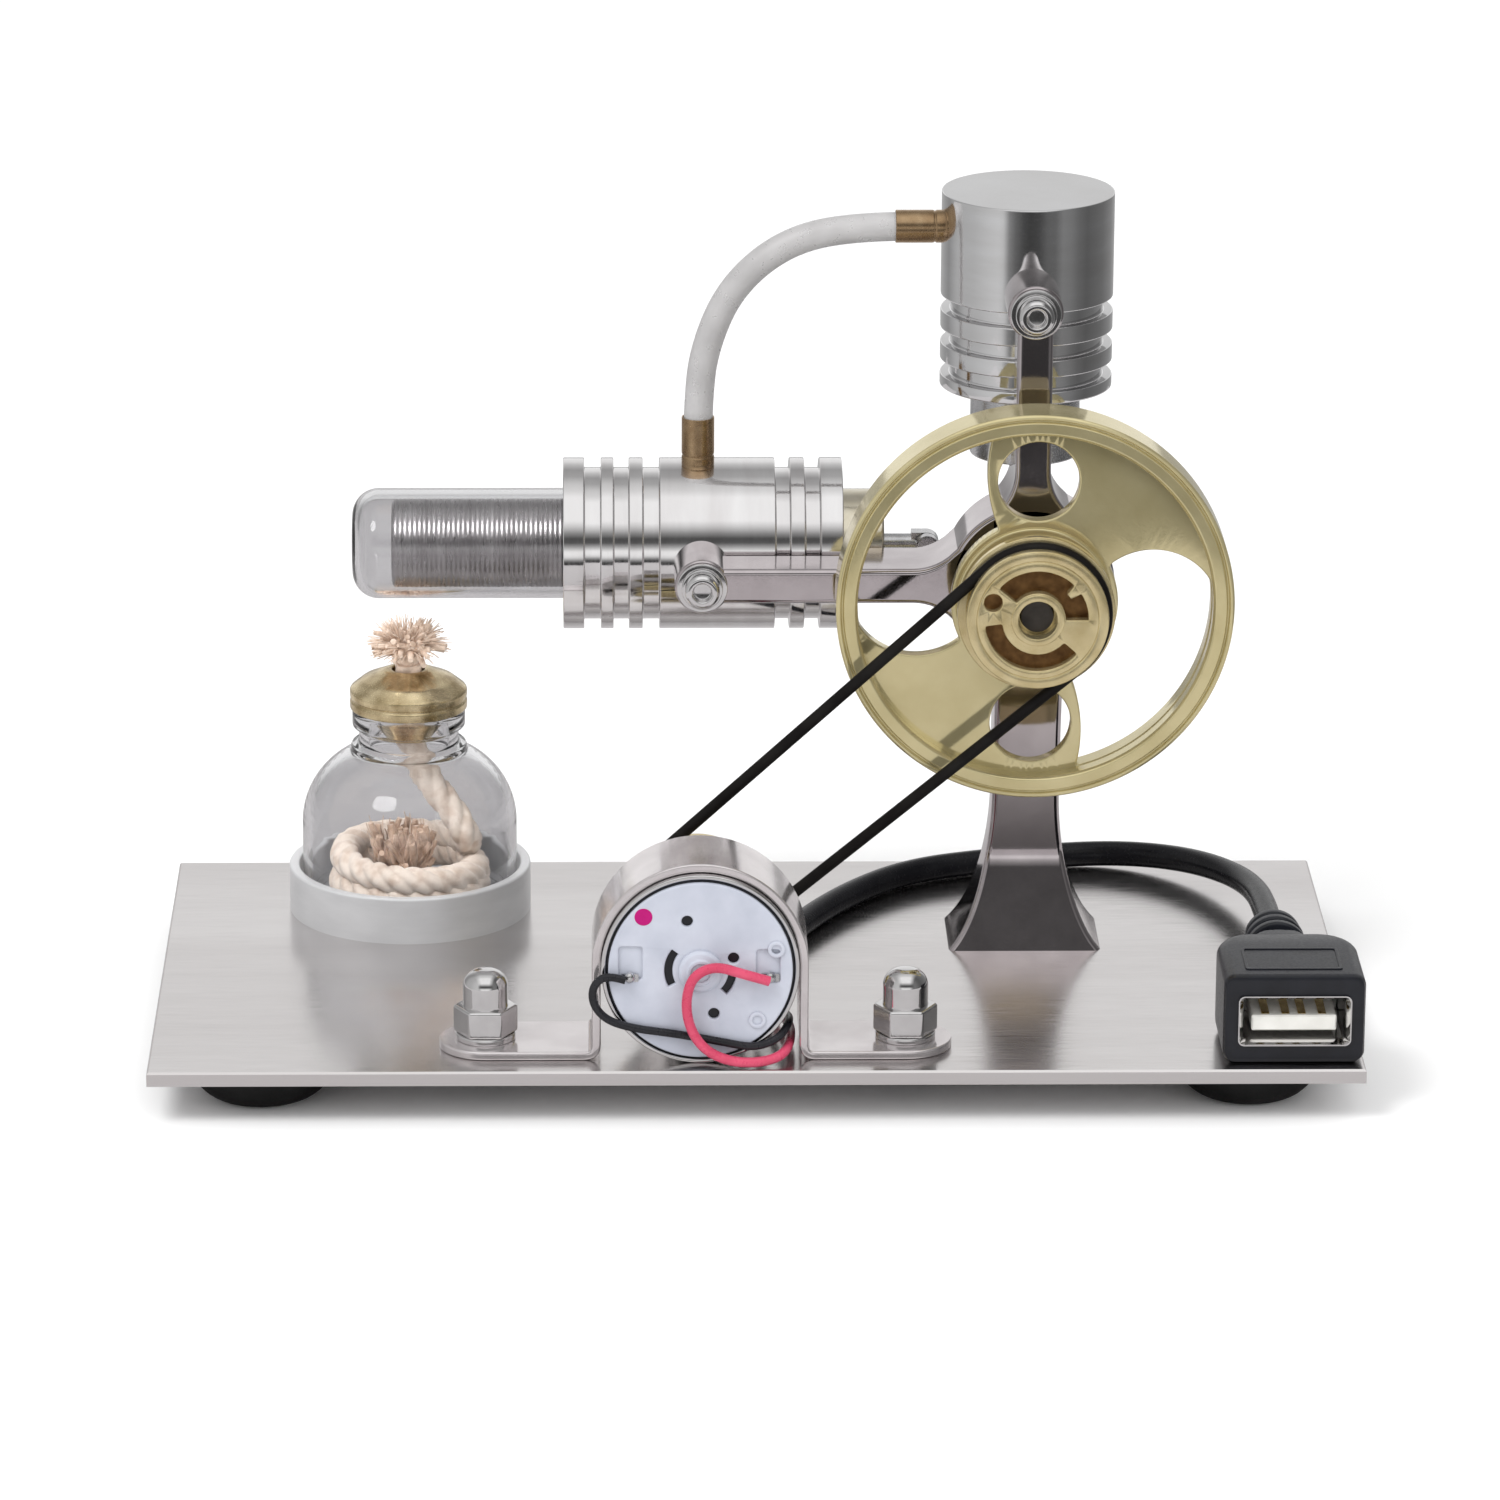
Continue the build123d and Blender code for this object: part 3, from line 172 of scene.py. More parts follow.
def lathe(profile, axis="z", at=(0, 0, 0), segments=SEGMENTS):
    """Solid of revolution. The profile's (radius, height) points close on the axis or on themselves."""
    verts, rings = [], []
    for radius, height in profile:
        start = len(verts)
        count = segments if radius > 1e-6 else 1
        for k in range(count):
            a = 2 * math.pi * k / segments
            verts.append(Vector((radius * math.cos(a), radius * math.sin(a), height)))
        rings.append(range(start, start + count))
    pairs = list(zip(rings, rings[1:]))
    if len(rings[0]) > 1 and len(rings[-1]) > 1:
        pairs.append((rings[-1], rings[0]))
    faces = []
    for low, high in pairs:
        for k in range(segments):
            n = (k + 1) % segments
            corners = [low[k % len(low)], low[n % len(low)], high[n % len(high)], high[k % len(high)]]
            corners = list(dict.fromkeys(corners))
            if len(corners) > 2:
                faces.append(tuple(corners))
    return moved((verts, faces), facing(axis, at))


def loft(rings, capped=True, closed=False):
    """Skin over rings that have the same number of points."""
    count = len(rings[0])
    verts = [Vector(p) for ring in rings for p in ring]
    faces = []
    for i in range(len(rings) if closed else len(rings) - 1):
        low, high = i * count, (i + 1) % len(rings) * count
        for k in range(count):
            n = (k + 1) % count
            faces.append((low + k, low + n, high + n, high + k))
    if capped:
        faces.append(tuple(range(count))[::-1])
        faces.append(tuple(range((len(rings) - 1) * count, len(rings) * count)))
    return verts, faces


def inside(point, loop):
    crossings = 0
    for a, b in zip(loop, loop[1:] + loop[:1]):
        if (a.y > point.y) != (b.y > point.y):
            crossings += point.x < a.x + (b.x - a.x) * (point.y - a.y) / (b.y - a.y)
    return crossings % 2 == 1


def fill(loops):
    """Triangles between the first loop and the others, as numbers of points."""
    points = [p for loop in loops for p in loop]
    edges, start = [], 0
    for loop in loops:
        edges += [(start + k, start + (k + 1) % len(loop)) for k in range(len(loop))]
        start += len(loop)
    _, _, faces, origins, _, _ = delaunay_2d_cdt(points, edges, [], 1, 1e-7)
    triangles = []
    for face in faces:
        corners = [origins[i][0] for i in face if origins[i]]
        middle = sum((points[i] for i in corners), Vector((0, 0))) / 3
        in_hole = any(inside(middle, loop) for loop in loops[1:])
        if len(corners) == 3 and inside(middle, loops[0]) and not in_hole:
            triangles.append(corners)
    return triangles


def cut_sheet(outlines, depth, edge=0.15, axis="z", at=(0, 0, 0), steps=3):
    """Sheet with rounded edges. The first outline is its rim and the others are holes."""
    layers = []
    for k in range(steps + 1):
        a = math.radians(90 * k / steps)
        layers.append((edge * (1 - math.sin(a)), edge * (1 - math.cos(a))))
    layers += [(inset, depth - height) for inset, height in reversed(layers)]
    verts, faces = [], []
    caps = ([], [])
    starts = []
    for n, outline in enumerate(outlines):
        outline = anticlockwise(list(outline))
        sign = -1 if n == 0 else 1
        start, count = len(verts), len(outline)
        starts.append((start, count))
        for inset, height in layers:
            verts += [Vector((x, y, height)) for x, y in grown(outline, sign * inset)]
        for layer in range(len(layers) - 1):
            low = start + layer * count
            for k in range(count):
                following = (k + 1) % count
                faces.append((low + k, low + following, low + count + following, low + count + k))
        for cap, layer in zip(caps, (0, len(layers) - 1)):
            low = start + layer * count
            cap.append(list(range(low, low + count)))
    for cap in caps:
        index = [i for loop in cap for i in loop]
        triangles = fill([[verts[i].to_2d() for i in loop] for loop in cap])
        faces += [tuple(index[i] for i in triangle) for triangle in triangles]
    return moved((verts, faces), facing(axis, at))


def tube_along(points, section, radii=None):
    """Skin of a flat section carried along points, with no twist. radii scales it at each point."""
    points = [Vector(p) for p in points]
    side = Vector((0.31, 0.52, 0.79))
    rings = []
    for i, here in enumerate(points):
        ahead = (points[min(i + 1, len(points) - 1)] - points[max(i - 1, 0)]).normalized()
        side = (side - ahead * side.dot(ahead)).normalized()
        up = ahead.cross(side)
        size = 1.0 if radii is None else radii[i]
        outline = section(i) if callable(section) else section
        rings.append([here + side * x * size + up * y * size for x, y in outline])
    return loft(rings)


# ---- pieces ----

def piece(name, shape, body, slot, material, *nodes, sharp=38):
    """A Blender object from a shape in millimetres, riding on a body in place of CAD nodes."""
    verts, faces = shape
    mesh = bpy.data.meshes.new(name)
    mesh.from_pydata([tuple(c * MM for c in v) for v in verts], [], faces)
    tidy = bmesh.new()
    tidy.from_mesh(mesh)
    bmesh.ops.recalc_face_normals(tidy, faces=tidy.faces)
    tidy.to_mesh(mesh)
    tidy.free()
    mesh.shade_smooth()
    mesh.set_sharp_from_angle(angle=math.radians(sharp))
    obj = bpy.data.objects.new(name, mesh)
    bpy.context.scene.collection.objects.link(obj)
    weigh = obj.modifiers.new("weigh", "WEIGHTED_NORMAL")
    weigh.keep_sharp = True
    return dressed(obj, body, slot, material, *nodes)


def dressed(obj, body, slot, material, *nodes):
    obj.data.materials.append(material)
    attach(obj, body)
    if nodes:
        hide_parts(*nodes)
    return obj


def route_curve(name, route, diameter):
    """Round cord on a smooth NURBS line. The route's points are in millimetres."""
    curve = bpy.data.curves.new(name, "CURVE")
    curve.dimensions = "3D"
    curve.resolution_u = 16
    curve.bevel_depth = diameter / 2 * MM
    curve.bevel_resolution = 8
    curve.use_fill_caps = True
    spline = curve.splines.new("NURBS")
    spline.points.add(len(route) - 1)
    for target, point in zip(spline.points, route):
        target.co = (*(c * MM for c in point), 1)
    spline.order_u = 3
    spline.use_endpoint_u = True
    obj = bpy.data.objects.new(name, curve)
    bpy.context.scene.collection.objects.link(obj)
    return obj


def line_of(name, route):
    """Points along a route's NURBS line, in millimetres."""
    guide = route_curve(name, route, 0)
    mesh = bpy.data.meshes.new_from_object(guide)
    points = [v.co / MM for v in mesh.vertices]
    bpy.data.objects.remove(guide)
    bpy.data.meshes.remove(mesh)
    return points


def length_of(points):
    return sum((b - a).length for a, b in zip(points, points[1:]))


# ---- materials ----

def shader(name, colour, roughness, metallic=0.0, **constants):
    """Principled material. The other constants are its sockets' names with _ for a space."""
    material = bpy.data.materials.new(name)
    material.use_nodes = True
    bsdf = material.node_tree.nodes["Principled BSDF"]
    bsdf.inputs["Base Color"].default_value = (*colour, 1)
    bsdf.inputs["Roughness"].default_value = roughness
    bsdf.inputs["Metallic"].default_value = metallic
    for socket, value in constants.items():
        bsdf.inputs[socket.replace("_", " ")].default_value = value
    return material


def node_in(material, kind, **values):
    node = material.node_tree.nodes.new(kind)
    for key, value in values.items():
        setattr(node, key, value)
    return node


def grain(material, size, stretch=(1, 1, 1), detail=4.0, kind="ShaderNodeTexNoise"):
    """Noise fixed to the object. size is its feature size in millimetres."""
    links = material.node_tree.links
    coords = node_in(material, "ShaderNodeTexCoord")
    mapping = node_in(material, "ShaderNodeMapping")
    mapping.inputs["Scale"].default_value = stretch
    links.new(coords.outputs["Object"], mapping.inputs["Vector"])
    texture = node_in(material, kind)
    texture.inputs["Scale"].default_value = 1 / (size * MM)
    if kind == "ShaderNodeTexNoise":
        texture.inputs["Detail"].default_value = detail
    links.new(mapping.outputs["Vector"], texture.inputs["Vector"])
    return texture.outputs[0]


def ramp(material, source, stops):
    """Colours along a source value. Stops are (place, colour)."""
    node = node_in(material, "ShaderNodeValToRGB")
    elements = node.color_ramp.elements
    while len(elements) < len(stops):
        elements.new(0.5)
    for element, (position, colour) in zip(elements, stops):
        element.position = position
        element.color = (*colour, 1)
    material.node_tree.links.new(source, node.inputs["Fac"])
    return node.outputs["Color"]


def tint(material, source, dark, light, low=0.3, high=0.7):
    colour = ramp(material, source, [(low, dark), (high, light)])
    bsdf = material.node_tree.nodes["Principled BSDF"]
    material.node_tree.links.new(colour, bsdf.inputs["Base Color"])
    return colour


def polish(material, source, low, high):
    """Roughness between two values."""
    spread = node_in(material, "ShaderNodeMapRange")
    spread.inputs["From Min"].default_value = 0.3
    spread.inputs["From Max"].default_value = 0.7
    spread.inputs["To Min"].default_value = low
    spread.inputs["To Max"].default_value = high
    links = material.node_tree.links
    links.new(source, spread.inputs["Value"])
    links.new(spread.outputs["Result"],
              material.node_tree.nodes["Principled BSDF"].inputs["Roughness"])


def relief(material, source, depth, strength=0.5):
    """Bump of a depth in millimetres. A second call goes on top of the first."""
    bump = node_in(material, "ShaderNodeBump")
    bump.inputs["Strength"].default_value = strength
    bump.inputs["Distance"].default_value = depth * MM
    links = material.node_tree.links
    target = material.node_tree.nodes["Principled BSDF"].inputs["Normal"]
    if target.is_linked:
        links.new(target.links[0].from_socket, bump.inputs["Normal"])
    links.new(source, bump.inputs["Height"])
    links.new(bump.outputs["Normal"], target)


def metal(name, dark, light, rough, wear=3.0, scratch=0.15, stretch=(1, 1, 1), depth=0.004):
    """Metal with faint stains and fine scratches. rough is its (low, high) roughness."""
    material = shader(name, light, rough[0], metallic=1.0)
    tint(material, grain(material, wear, stretch), dark, light)
    fine = grain(material, scratch, stretch, detail=6)
    polish(material, fine, *rough)
    relief(material, fine, depth)
    return material


def plastic(name, dark, light, rough, size=0.35, depth=0.012, **constants):
    """Moulded plastic or rubber with a fine skin."""
    material = shader(name, light, rough[0], **constants)
    tint(material, grain(material, 4.0), dark, light)
    fine = grain(material, size)
    polish(material, fine, *rough)
    relief(material, fine, depth)
    return material


def make_materials():
    along_x = (0.06, 1, 1)
    m = {}
    m["plate"] = metal("brushed_plate", (0.70, 0.67, 0.665), (0.80, 0.775, 0.77), (0.16, 0.27),
                       wear=14, scratch=0.35, stretch=along_x, depth=0.003)
    m["hot_metal"] = metal("mirror_along_x", (0.76, 0.74, 0.74), (0.86, 0.85, 0.85), (0.04, 0.12),
                           stretch=(1, 0.2, 0.2), depth=0.0015)
    m["cold_metal"] = metal("mirror_along_z", (0.76, 0.75, 0.75), (0.86, 0.86, 0.87), (0.04, 0.12),
                            stretch=(0.2, 0.2, 1), depth=0.0015)
    # painted shade: the cold barrel's upward faces are darkened in colour
    shade_upward_faces(m["cold_metal"], 0.66)
    m["chrome"] = metal("bright_chrome", (0.70, 0.69, 0.69), (0.82, 0.81, 0.81), (0.04, 0.12),
                        depth=0.002)
    m["strap"] = metal("satin_chrome", (0.66, 0.615, 0.62), (0.80, 0.76, 0.765), (0.10, 0.20), wear=6)
    part_matt(m["strap"], 0.82)
    m["casting"] = metal("dark_nickel", (0.50, 0.455, 0.465), (0.61, 0.56, 0.57), (0.04, 0.12),
                         wear=5, depth=0.002)
    m["steel"] = metal("bright_steel", (0.50, 0.50, 0.51), (0.68, 0.68, 0.69), (0.16, 0.32))
    m["aluminium"] = metal("satin_aluminium", (0.66, 0.66, 0.67), (0.76, 0.76, 0.77), (0.30, 0.42),
                           scratch=0.2, stretch=(0.3, 0.3, 1), depth=0.002)
    part_matt(m["aluminium"], 0.45)
    m["pale_brass"] = metal("pale_brass", (0.66, 0.60, 0.46), (0.80, 0.75, 0.62), (0.12, 0.24), wear=3)
    m["black_steel"] = metal("blackened_steel", (0.05, 0.045, 0.04), (0.10, 0.09, 0.08), (0.3, 0.45))
    m["brass"] = metal("turned_brass", (0.64, 0.49, 0.27), (0.84, 0.69, 0.43), (0.12, 0.26), wear=4)
    part_matt(m["brass"], 0.8)
    m["cap_brass"] = metal("tarnished_brass", (0.34, 0.25, 0.12), (0.84, 0.70, 0.44), (0.14, 0.30), wear=2.6)
    part_matt(m["cap_brass"], 0.85)
    m["old_brass"] = metal("brown_brass", (0.34, 0.22, 0.12), (0.52, 0.37, 0.22), (0.20, 0.36), wear=2)
    m["wheel_brass"] = metal("wheel_brass", (0.60, 0.52, 0.28), (0.72, 0.635, 0.37), (0.06, 0.14),
                             wear=7, scratch=0.25, depth=0.002)
    part_matt(m["wheel_brass"], 0.72)
    m["pulley_brass"] = metal("pulley_brass", (0.58, 0.47, 0.24), (0.76, 0.65, 0.38), (0.10, 0.22), wear=3,
                              depth=0.002)
    part_matt(m["pulley_brass"], 0.8)
    # painted shade: near-black brass for a sheet inside the pulley's pockets
    m["pocket"] = metal("pocket_shade_brass", (0.10, 0.05, 0.02), (0.24, 0.13, 0.05), (0.3, 0.45), wear=1.5)
    m["copper"] = metal("copper", (0.55, 0.26, 0.15), (0.78, 0.42, 0.26), (0.2, 0.35), wear=1)
    m["gold"] = metal("gold_plate", (0.72, 0.52, 0.22), (0.86, 0.68, 0.34), (0.12, 0.22), wear=1)
    m["iron"] = metal("core_iron", (0.16, 0.15, 0.15), (0.30, 0.29, 0.28), (0.35, 0.55), wear=2)
    m["magnet"] = plastic("ferrite", (0.04, 0.04, 0.045), (0.08, 0.08, 0.085), (0.5, 0.7))
    m["rubber"] = plastic("foot_rubber", (0.004, 0.004, 0.004), (0.010, 0.010, 0.010), (0.45, 0.62),
                          size=0.25, depth=0.02, Specular_IOR_Level=0.2)
    m["belt"] = plastic("belt_rubber", (0.004, 0.003, 0.003), (0.010, 0.009, 0.008), (0.40, 0.55), size=0.4,
                        Specular_IOR_Level=0.15)
    m["black_plastic"] = plastic("black_plastic", (0.003, 0.0035, 0.006), (0.007, 0.008, 0.013),
                                 (0.30, 0.42), size=0.3, depth=0.008, Specular_IOR_Level=0.5)
    m["cable"] = plastic("cable_skin", (0.005, 0.005, 0.007), (0.012, 0.012, 0.014), (0.20, 0.30), size=0.5,
                         Specular_IOR_Level=0.2)
    m["cap"] = plastic("white_nylon", (0.40, 0.42, 0.49), (0.48, 0.50, 0.57), (0.30, 0.44), depth=0.006)
    m["magenta"] = plastic("magenta_paint", (0.34, 0.001, 0.11), (0.44, 0.006, 0.16), (0.3, 0.45), size=0.2,
                           Specular_IOR_Level=0.2)
    m["tongue"] = plastic("pale_plastic", (0.62, 0.61, 0.57), (0.78, 0.77, 0.73), (0.35, 0.5))
    m["red"] = plastic("red_insulation", (0.46, 0.035, 0.085), (0.60, 0.07, 0.14), (0.24, 0.34), size=0.8,
                       depth=0.002)
    m["black"] = plastic("black_insulation", (0.008, 0.008, 0.010), (0.02, 0.02, 0.024), (0.24, 0.36),
                         size=0.4, Specular_IOR_Level=0.35)
    m["hose"] = silicone()
    m["glass"] = glass("lamp_glass", 1.46)
    m["tube_glass"] = glass("tube_glass", 1.47)
    m["displacer"] = displacer_steel()
    m["cotton"] = cotton("wick_cotton", (0.66, 0.52, 0.42), (0.87, 0.76, 0.66))
    m["head"] = cotton("wick_head_cotton", (0.46, 0.32, 0.23), (0.82, 0.66, 0.54))
    m["singed"] = cotton("frayed_cotton", (0.30, 0.18, 0.11), (0.68, 0.50, 0.38))
    return m


def shade_upward_faces(material, share):
    """Painted shade: faces that look up keep this share of their colour, so the tops come out darker."""
    normal = node_in(material, "ShaderNodeNewGeometry")
    split = node_in(material, "ShaderNodeSeparateXYZ")
    mix = node_in(material, "ShaderNodeMix", data_type="RGBA", blend_type="MULTIPLY")
    links = material.node_tree.links
    links.new(normal.outputs["Normal"], split.inputs["Vector"])
    upward = ramp(material, split.outputs["Z"], [(0.9, (0, 0, 0)), (0.98, (1, 1, 1))])
    colour = material.node_tree.nodes["Principled BSDF"].inputs["Base Color"]
    links.new(upward, mix.inputs["Factor"])
    links.new(colour.links[0].from_socket, mix.inputs[6])
    mix.inputs[7].default_value = (share, share, share, 1)
    links.new(mix.outputs[2], colour)


def part_matt(material, metallic):
    """Satin finish: part of the light is scattered."""
    material.node_tree.nodes["Principled BSDF"].inputs["Metallic"].default_value = metallic


def glass(name, ior):
    """Clear glass with faint smears."""
    material = shader(name, (0.89, 0.89, 0.90), 0.0, Transmission_Weight=1.0, IOR=ior)
    polish(material, grain(material, 6.0), 0.0, 0.035)
    relief(material, grain(material, 9.0, detail=2), 0.05, strength=0.12)
    return material


def silicone():
    """Milky hose that lets light through."""
    material = shader("milky_silicone", (0.70, 0.69, 0.69), 0.3, Transmission_Weight=0.35, IOR=1.41)
    tint(material, grain(material, 5.0), (0.50, 0.49, 0.49), (0.61, 0.60, 0.60))
    polish(material, grain(material, 1.2), 0.25, 0.38)
    relief(material, grain(material, 2.5), 0.01, strength=0.2)
    return material


def displacer_steel():
    """Thin drawn steel with turned rings."""
    return metal("ringed_steel", (0.30, 0.28, 0.285), (0.44, 0.42, 0.425), (0.24, 0.36),
                 wear=1.4, scratch=0.3, stretch=(1, 0.12, 0.12), depth=0.006)


def cotton(name, dark, light):
    """Twisted cotton: soft, uneven and matt."""
    material = shader(name, light, 0.9, Sheen_Weight=0.35)
    tint(material, grain(material, 1.6), dark, light, low=0.30, high=0.55)
    relief(material, grain(material, 0.16, detail=6), 0.10, strength=0.5)
    return material


MATERIALS = make_materials()


# ---- camera, floor and light ----

CAMERA_AT = (-0.020326, -0.896579, 0.326859)
CAMERA_PITCH, CAMERA_YAW, CAMERA_ROLL = 0.314103, 0.0224107, 0.00504603
CAMERA_LENS, CAMERA_SENSOR = 178.53, 36.0


def add_camera():
    data = bpy.data.cameras.new("camera")
    data.lens = CAMERA_LENS
    data.sensor_width = CAMERA_SENSOR
    data.clip_start = 0.01
    camera = bpy.data.objects.new("camera", data)
    down, across = CAMERA_PITCH, CAMERA_YAW
    ahead = Vector((math.sin(across) * math.cos(down), math.cos(across) * math.cos(down), -math.sin(down)))
    right = Vector((math.cos(across), -math.sin(across), 0))
    up = right.cross(ahead)
    turned_right = right * math.cos(CAMERA_ROLL) + up * math.sin(CAMERA_ROLL)
    turned_up = up * math.cos(CAMERA_ROLL) - right * math.sin(CAMERA_ROLL)
    rotation = Matrix((turned_right, turned_up, -ahead)).transposed()
    camera.matrix_world = Matrix.Translation(CAMERA_AT) @ rotation.to_4x4()
    bpy.context.scene.collection.objects.link(camera)
    bpy.context.scene.camera = camera


def dim_in_mirrors(material, paint, share):
    """The stage floor looks darker in reflections than it does to the camera."""
    path = node_in(material, "ShaderNodeLightPath")
    mix = node_in(material, "ShaderNodeMix", data_type="RGBA", blend_type="MULTIPLY")
    links = material.node_tree.links
    links.new(path.outputs["Is Glossy Ray"], mix.inputs["Factor"])
    links.new(paint, mix.inputs[6])
    mix.inputs[7].default_value = (share, share * 0.97, share * 0.98, 1)
    links.new(mix.outputs[2], material.node_tree.nodes["Principled BSDF"].inputs["Base Color"])


TABLE_HALF_X, TABLE_FRONT, TABLE_BACK, ROOM_HALF = 0.19, -0.215, 0.24, 4.0
FLOOR_IN_MIRRORS = 0.48


def add_floor():
    """White table, and the same floor round it that the metal doesn't mirror."""
    material = shader("pale_floor", (0.93, 0.93, 0.93), 0.9)
    paint = tint(material, grain(material, 60.0), (0.92, 0.92, 0.92), (0.94, 0.94, 0.94))
    dim_in_mirrors(material, paint, FLOOR_IN_MIRRORS)
    table = [(-TABLE_HALF_X, TABLE_FRONT), (TABLE_HALF_X, TABLE_FRONT), (TABLE_HALF_X, TABLE_BACK),
             (-TABLE_HALF_X, TABLE_BACK)]
    half = ROOM_HALF
    room = [(-half, -half), (half, -half), (half, half), (-half, half)]
    frame_faces = [(4, 5, 1, 0), (5, 6, 2, 1), (6, 7, 3, 2), (7, 4, 0, 3)]
    for name, corners, faces in (("table", table, [(0, 1, 2, 3)]), ("floor", table + room, frame_faces)):
        mesh = bpy.data.meshes.new(name)
        mesh.from_pydata([(x, y, 0) for x, y in corners], [], faces)
        mesh.materials.append(material)
        obj = bpy.data.objects.new(name, mesh)
        bpy.context.scene.collection.objects.link(obj)
        obj.visible_glossy = name == "table"


def add_light(name, at, aim, size, power):
    data = bpy.data.lights.new(name, "AREA")
    data.shape = "DISK"
    data.size = size
    data.energy = power
    light = bpy.data.objects.new(name, data)
    light.location = at
    light.rotation_euler = (Vector(aim) - Vector(at)).to_track_quat("-Z", "Y").to_euler()
    light.visible_glossy = False
    bpy.context.scene.collection.objects.link(light)


def world_node(tree, kind, **values):
    node = tree.nodes.new(kind)
    for key, value in values.items():
        setattr(node, key, value)
    return node


def world_ramp(tree, source, stops):
    node = world_node(tree, "ShaderNodeValToRGB")
    elements = node.color_ramp.elements
    while len(elements) < len(stops):
        elements.new(0.5)
    for element, (position, value) in zip(elements, stops):
        element.position = position
        element.color = (value, value, value, 1)
    tree.links.new(source, node.inputs["Fac"])
    return node.outputs["Color"]


def world_mix(tree, factor, first, second):
    node = world_node(tree, "ShaderNodeMix", data_type="RGBA")
    tree.links.new(factor, node.inputs["Factor"])
    for socket, value in ((node.inputs[6], first), (node.inputs[7], second)):
        if isinstance(value, float):
            socket.default_value = (value, value, value, 1)
        else:
            tree.links.new(value, socket)
    return node.outputs[2]


def angle_to_unit(tree, y, x, low, high):
    """atan2 of two sockets, as 0 to 1 between two angles in degrees."""
    angle = world_node(tree, "ShaderNodeMath", operation="ARCTAN2")
    tree.links.new(y, angle.inputs[0])
    tree.links.new(x, angle.inputs[1])
    unit = world_node(tree, "ShaderNodeMapRange")
    unit.inputs["From Min"].default_value = math.radians(low)
    unit.inputs["From Max"].default_value = math.radians(high)
    tree.links.new(angle.outputs[0], unit.inputs["Value"])
    return unit.outputs["Result"]


def add_world():
    """White studio. Reflections see softboxes overhead and at the left, and a darker room in front."""
    world = bpy.data.worlds.new("studio")
    bpy.context.scene.world = world
    world.use_nodes = True
    tree = world.node_tree
    background = tree.nodes["Background"]
    coords = world_node(tree, "ShaderNodeTexCoord")
    split = world_node(tree, "ShaderNodeSeparateXYZ")
    tree.links.new(coords.outputs["Generated"], split.inputs["Vector"])
    x, y, z = split.outputs
    toward = world_node(tree, "ShaderNodeMath", operation="MULTIPLY")
    toward.inputs[1].default_value = -1.0
    tree.links.new(y, toward.inputs[0])
    round_unit = angle_to_unit(tree, x, toward.outputs[0], -180, 180)
    over_unit = angle_to_unit(tree, z, toward.outputs[0], -40, 180)
    flat = world_node(tree, "ShaderNodeVectorMath", operation="MULTIPLY")
    flat.inputs[1].default_value = (1, 1, 0)
    tree.links.new(coords.outputs["Generated"], flat.inputs[0])
    reach = world_node(tree, "ShaderNodeVectorMath", operation="LENGTH")
    tree.links.new(flat.outputs["Vector"], reach.inputs[0])
    height_unit = angle_to_unit(tree, z, reach.outputs["Value"], -90, 90)
    round_the_room = [(-180, 0.50), (-133, 0.28), (-111, 0.45), (-80, 0.49), (-54, 0.59), (-42, 0.62),
                      (-36, 0.58), (-28, 0.24), (-20, 0.14), (-9, 0.07), (0, 0.05), (12, 0.065),
                      (23, 0.12), (34, 0.13),
                      (45, 0.21), (57, 0.19), (69, 0.14), (83, 0.11), (98, 0.13), (116, 0.16), (141, 0.25),
                      (180, 0.50)]
    sides = world_ramp(tree, round_unit, [((angle + 180) / 360, value) for angle, value in round_the_room])
    over_the_room = [(-40, 0.35), (-20, 0.40), (-10, 0.50), (0, 0.95), (4, 0.95), (10, 0.43), (16, 0.10),
                     (22, 0.08), (29, 0.29), (38, 0.70), (46, 1.0), (80, 1.0), (91, 0.78), (103, 0.66),
                     (117, 0.42), (133, 0.36), (148, 0.60), (158, 0.82), (180, 0.95)]
    hoop = world_ramp(tree, over_unit, [((angle + 40) / 220, value) for angle, value in over_the_room])
    below = world_ramp(tree, height_unit, [(0.44, 1.0), (0.48, 0.0)])
    across = world_node(tree, "ShaderNodeMath", operation="ABSOLUTE")
    tree.links.new(x, across.inputs[0])
    sideways = world_ramp(tree, across.outputs[0], [(0.32, 0.0), (0.62, 1.0)])
    choice = world_node(tree, "ShaderNodeMath", operation="MAXIMUM")
    tree.links.new(below, choice.inputs[0])
    tree.links.new(sideways, choice.inputs[1])
    room = world_mix(tree, choice.outputs[0], hoop, sides)
    path = world_node(tree, "ShaderNodeLightPath")
    seen = world_mix(tree, path.outputs["Is Glossy Ray"], 1.0, room)
    half = world_node(tree, "ShaderNodeMath", operation="MULTIPLY")
    half.inputs[1].default_value = 0.35
    tree.links.new(path.outputs["Is Transmission Ray"], half.inputs[0])
    seen = world_mix(tree, half.outputs[0], seen, room)
    tree.links.new(seen, background.inputs["Color"])
    background.inputs["Strength"].default_value = 1.0


def add_stage():
    add_camera()
    add_floor()
    add_world()
    add_light("key", (-0.5, -0.5, 0.9), (0, 0, 0.05), 0.5, 6.0)
    add_light("fill", (0.7, -0.6, 0.5), (0, 0, 0.05), 0.6, 2.0)
    bpy.context.scene.view_settings.view_transform = "Standard"


# ---- hose, leads and cable ----

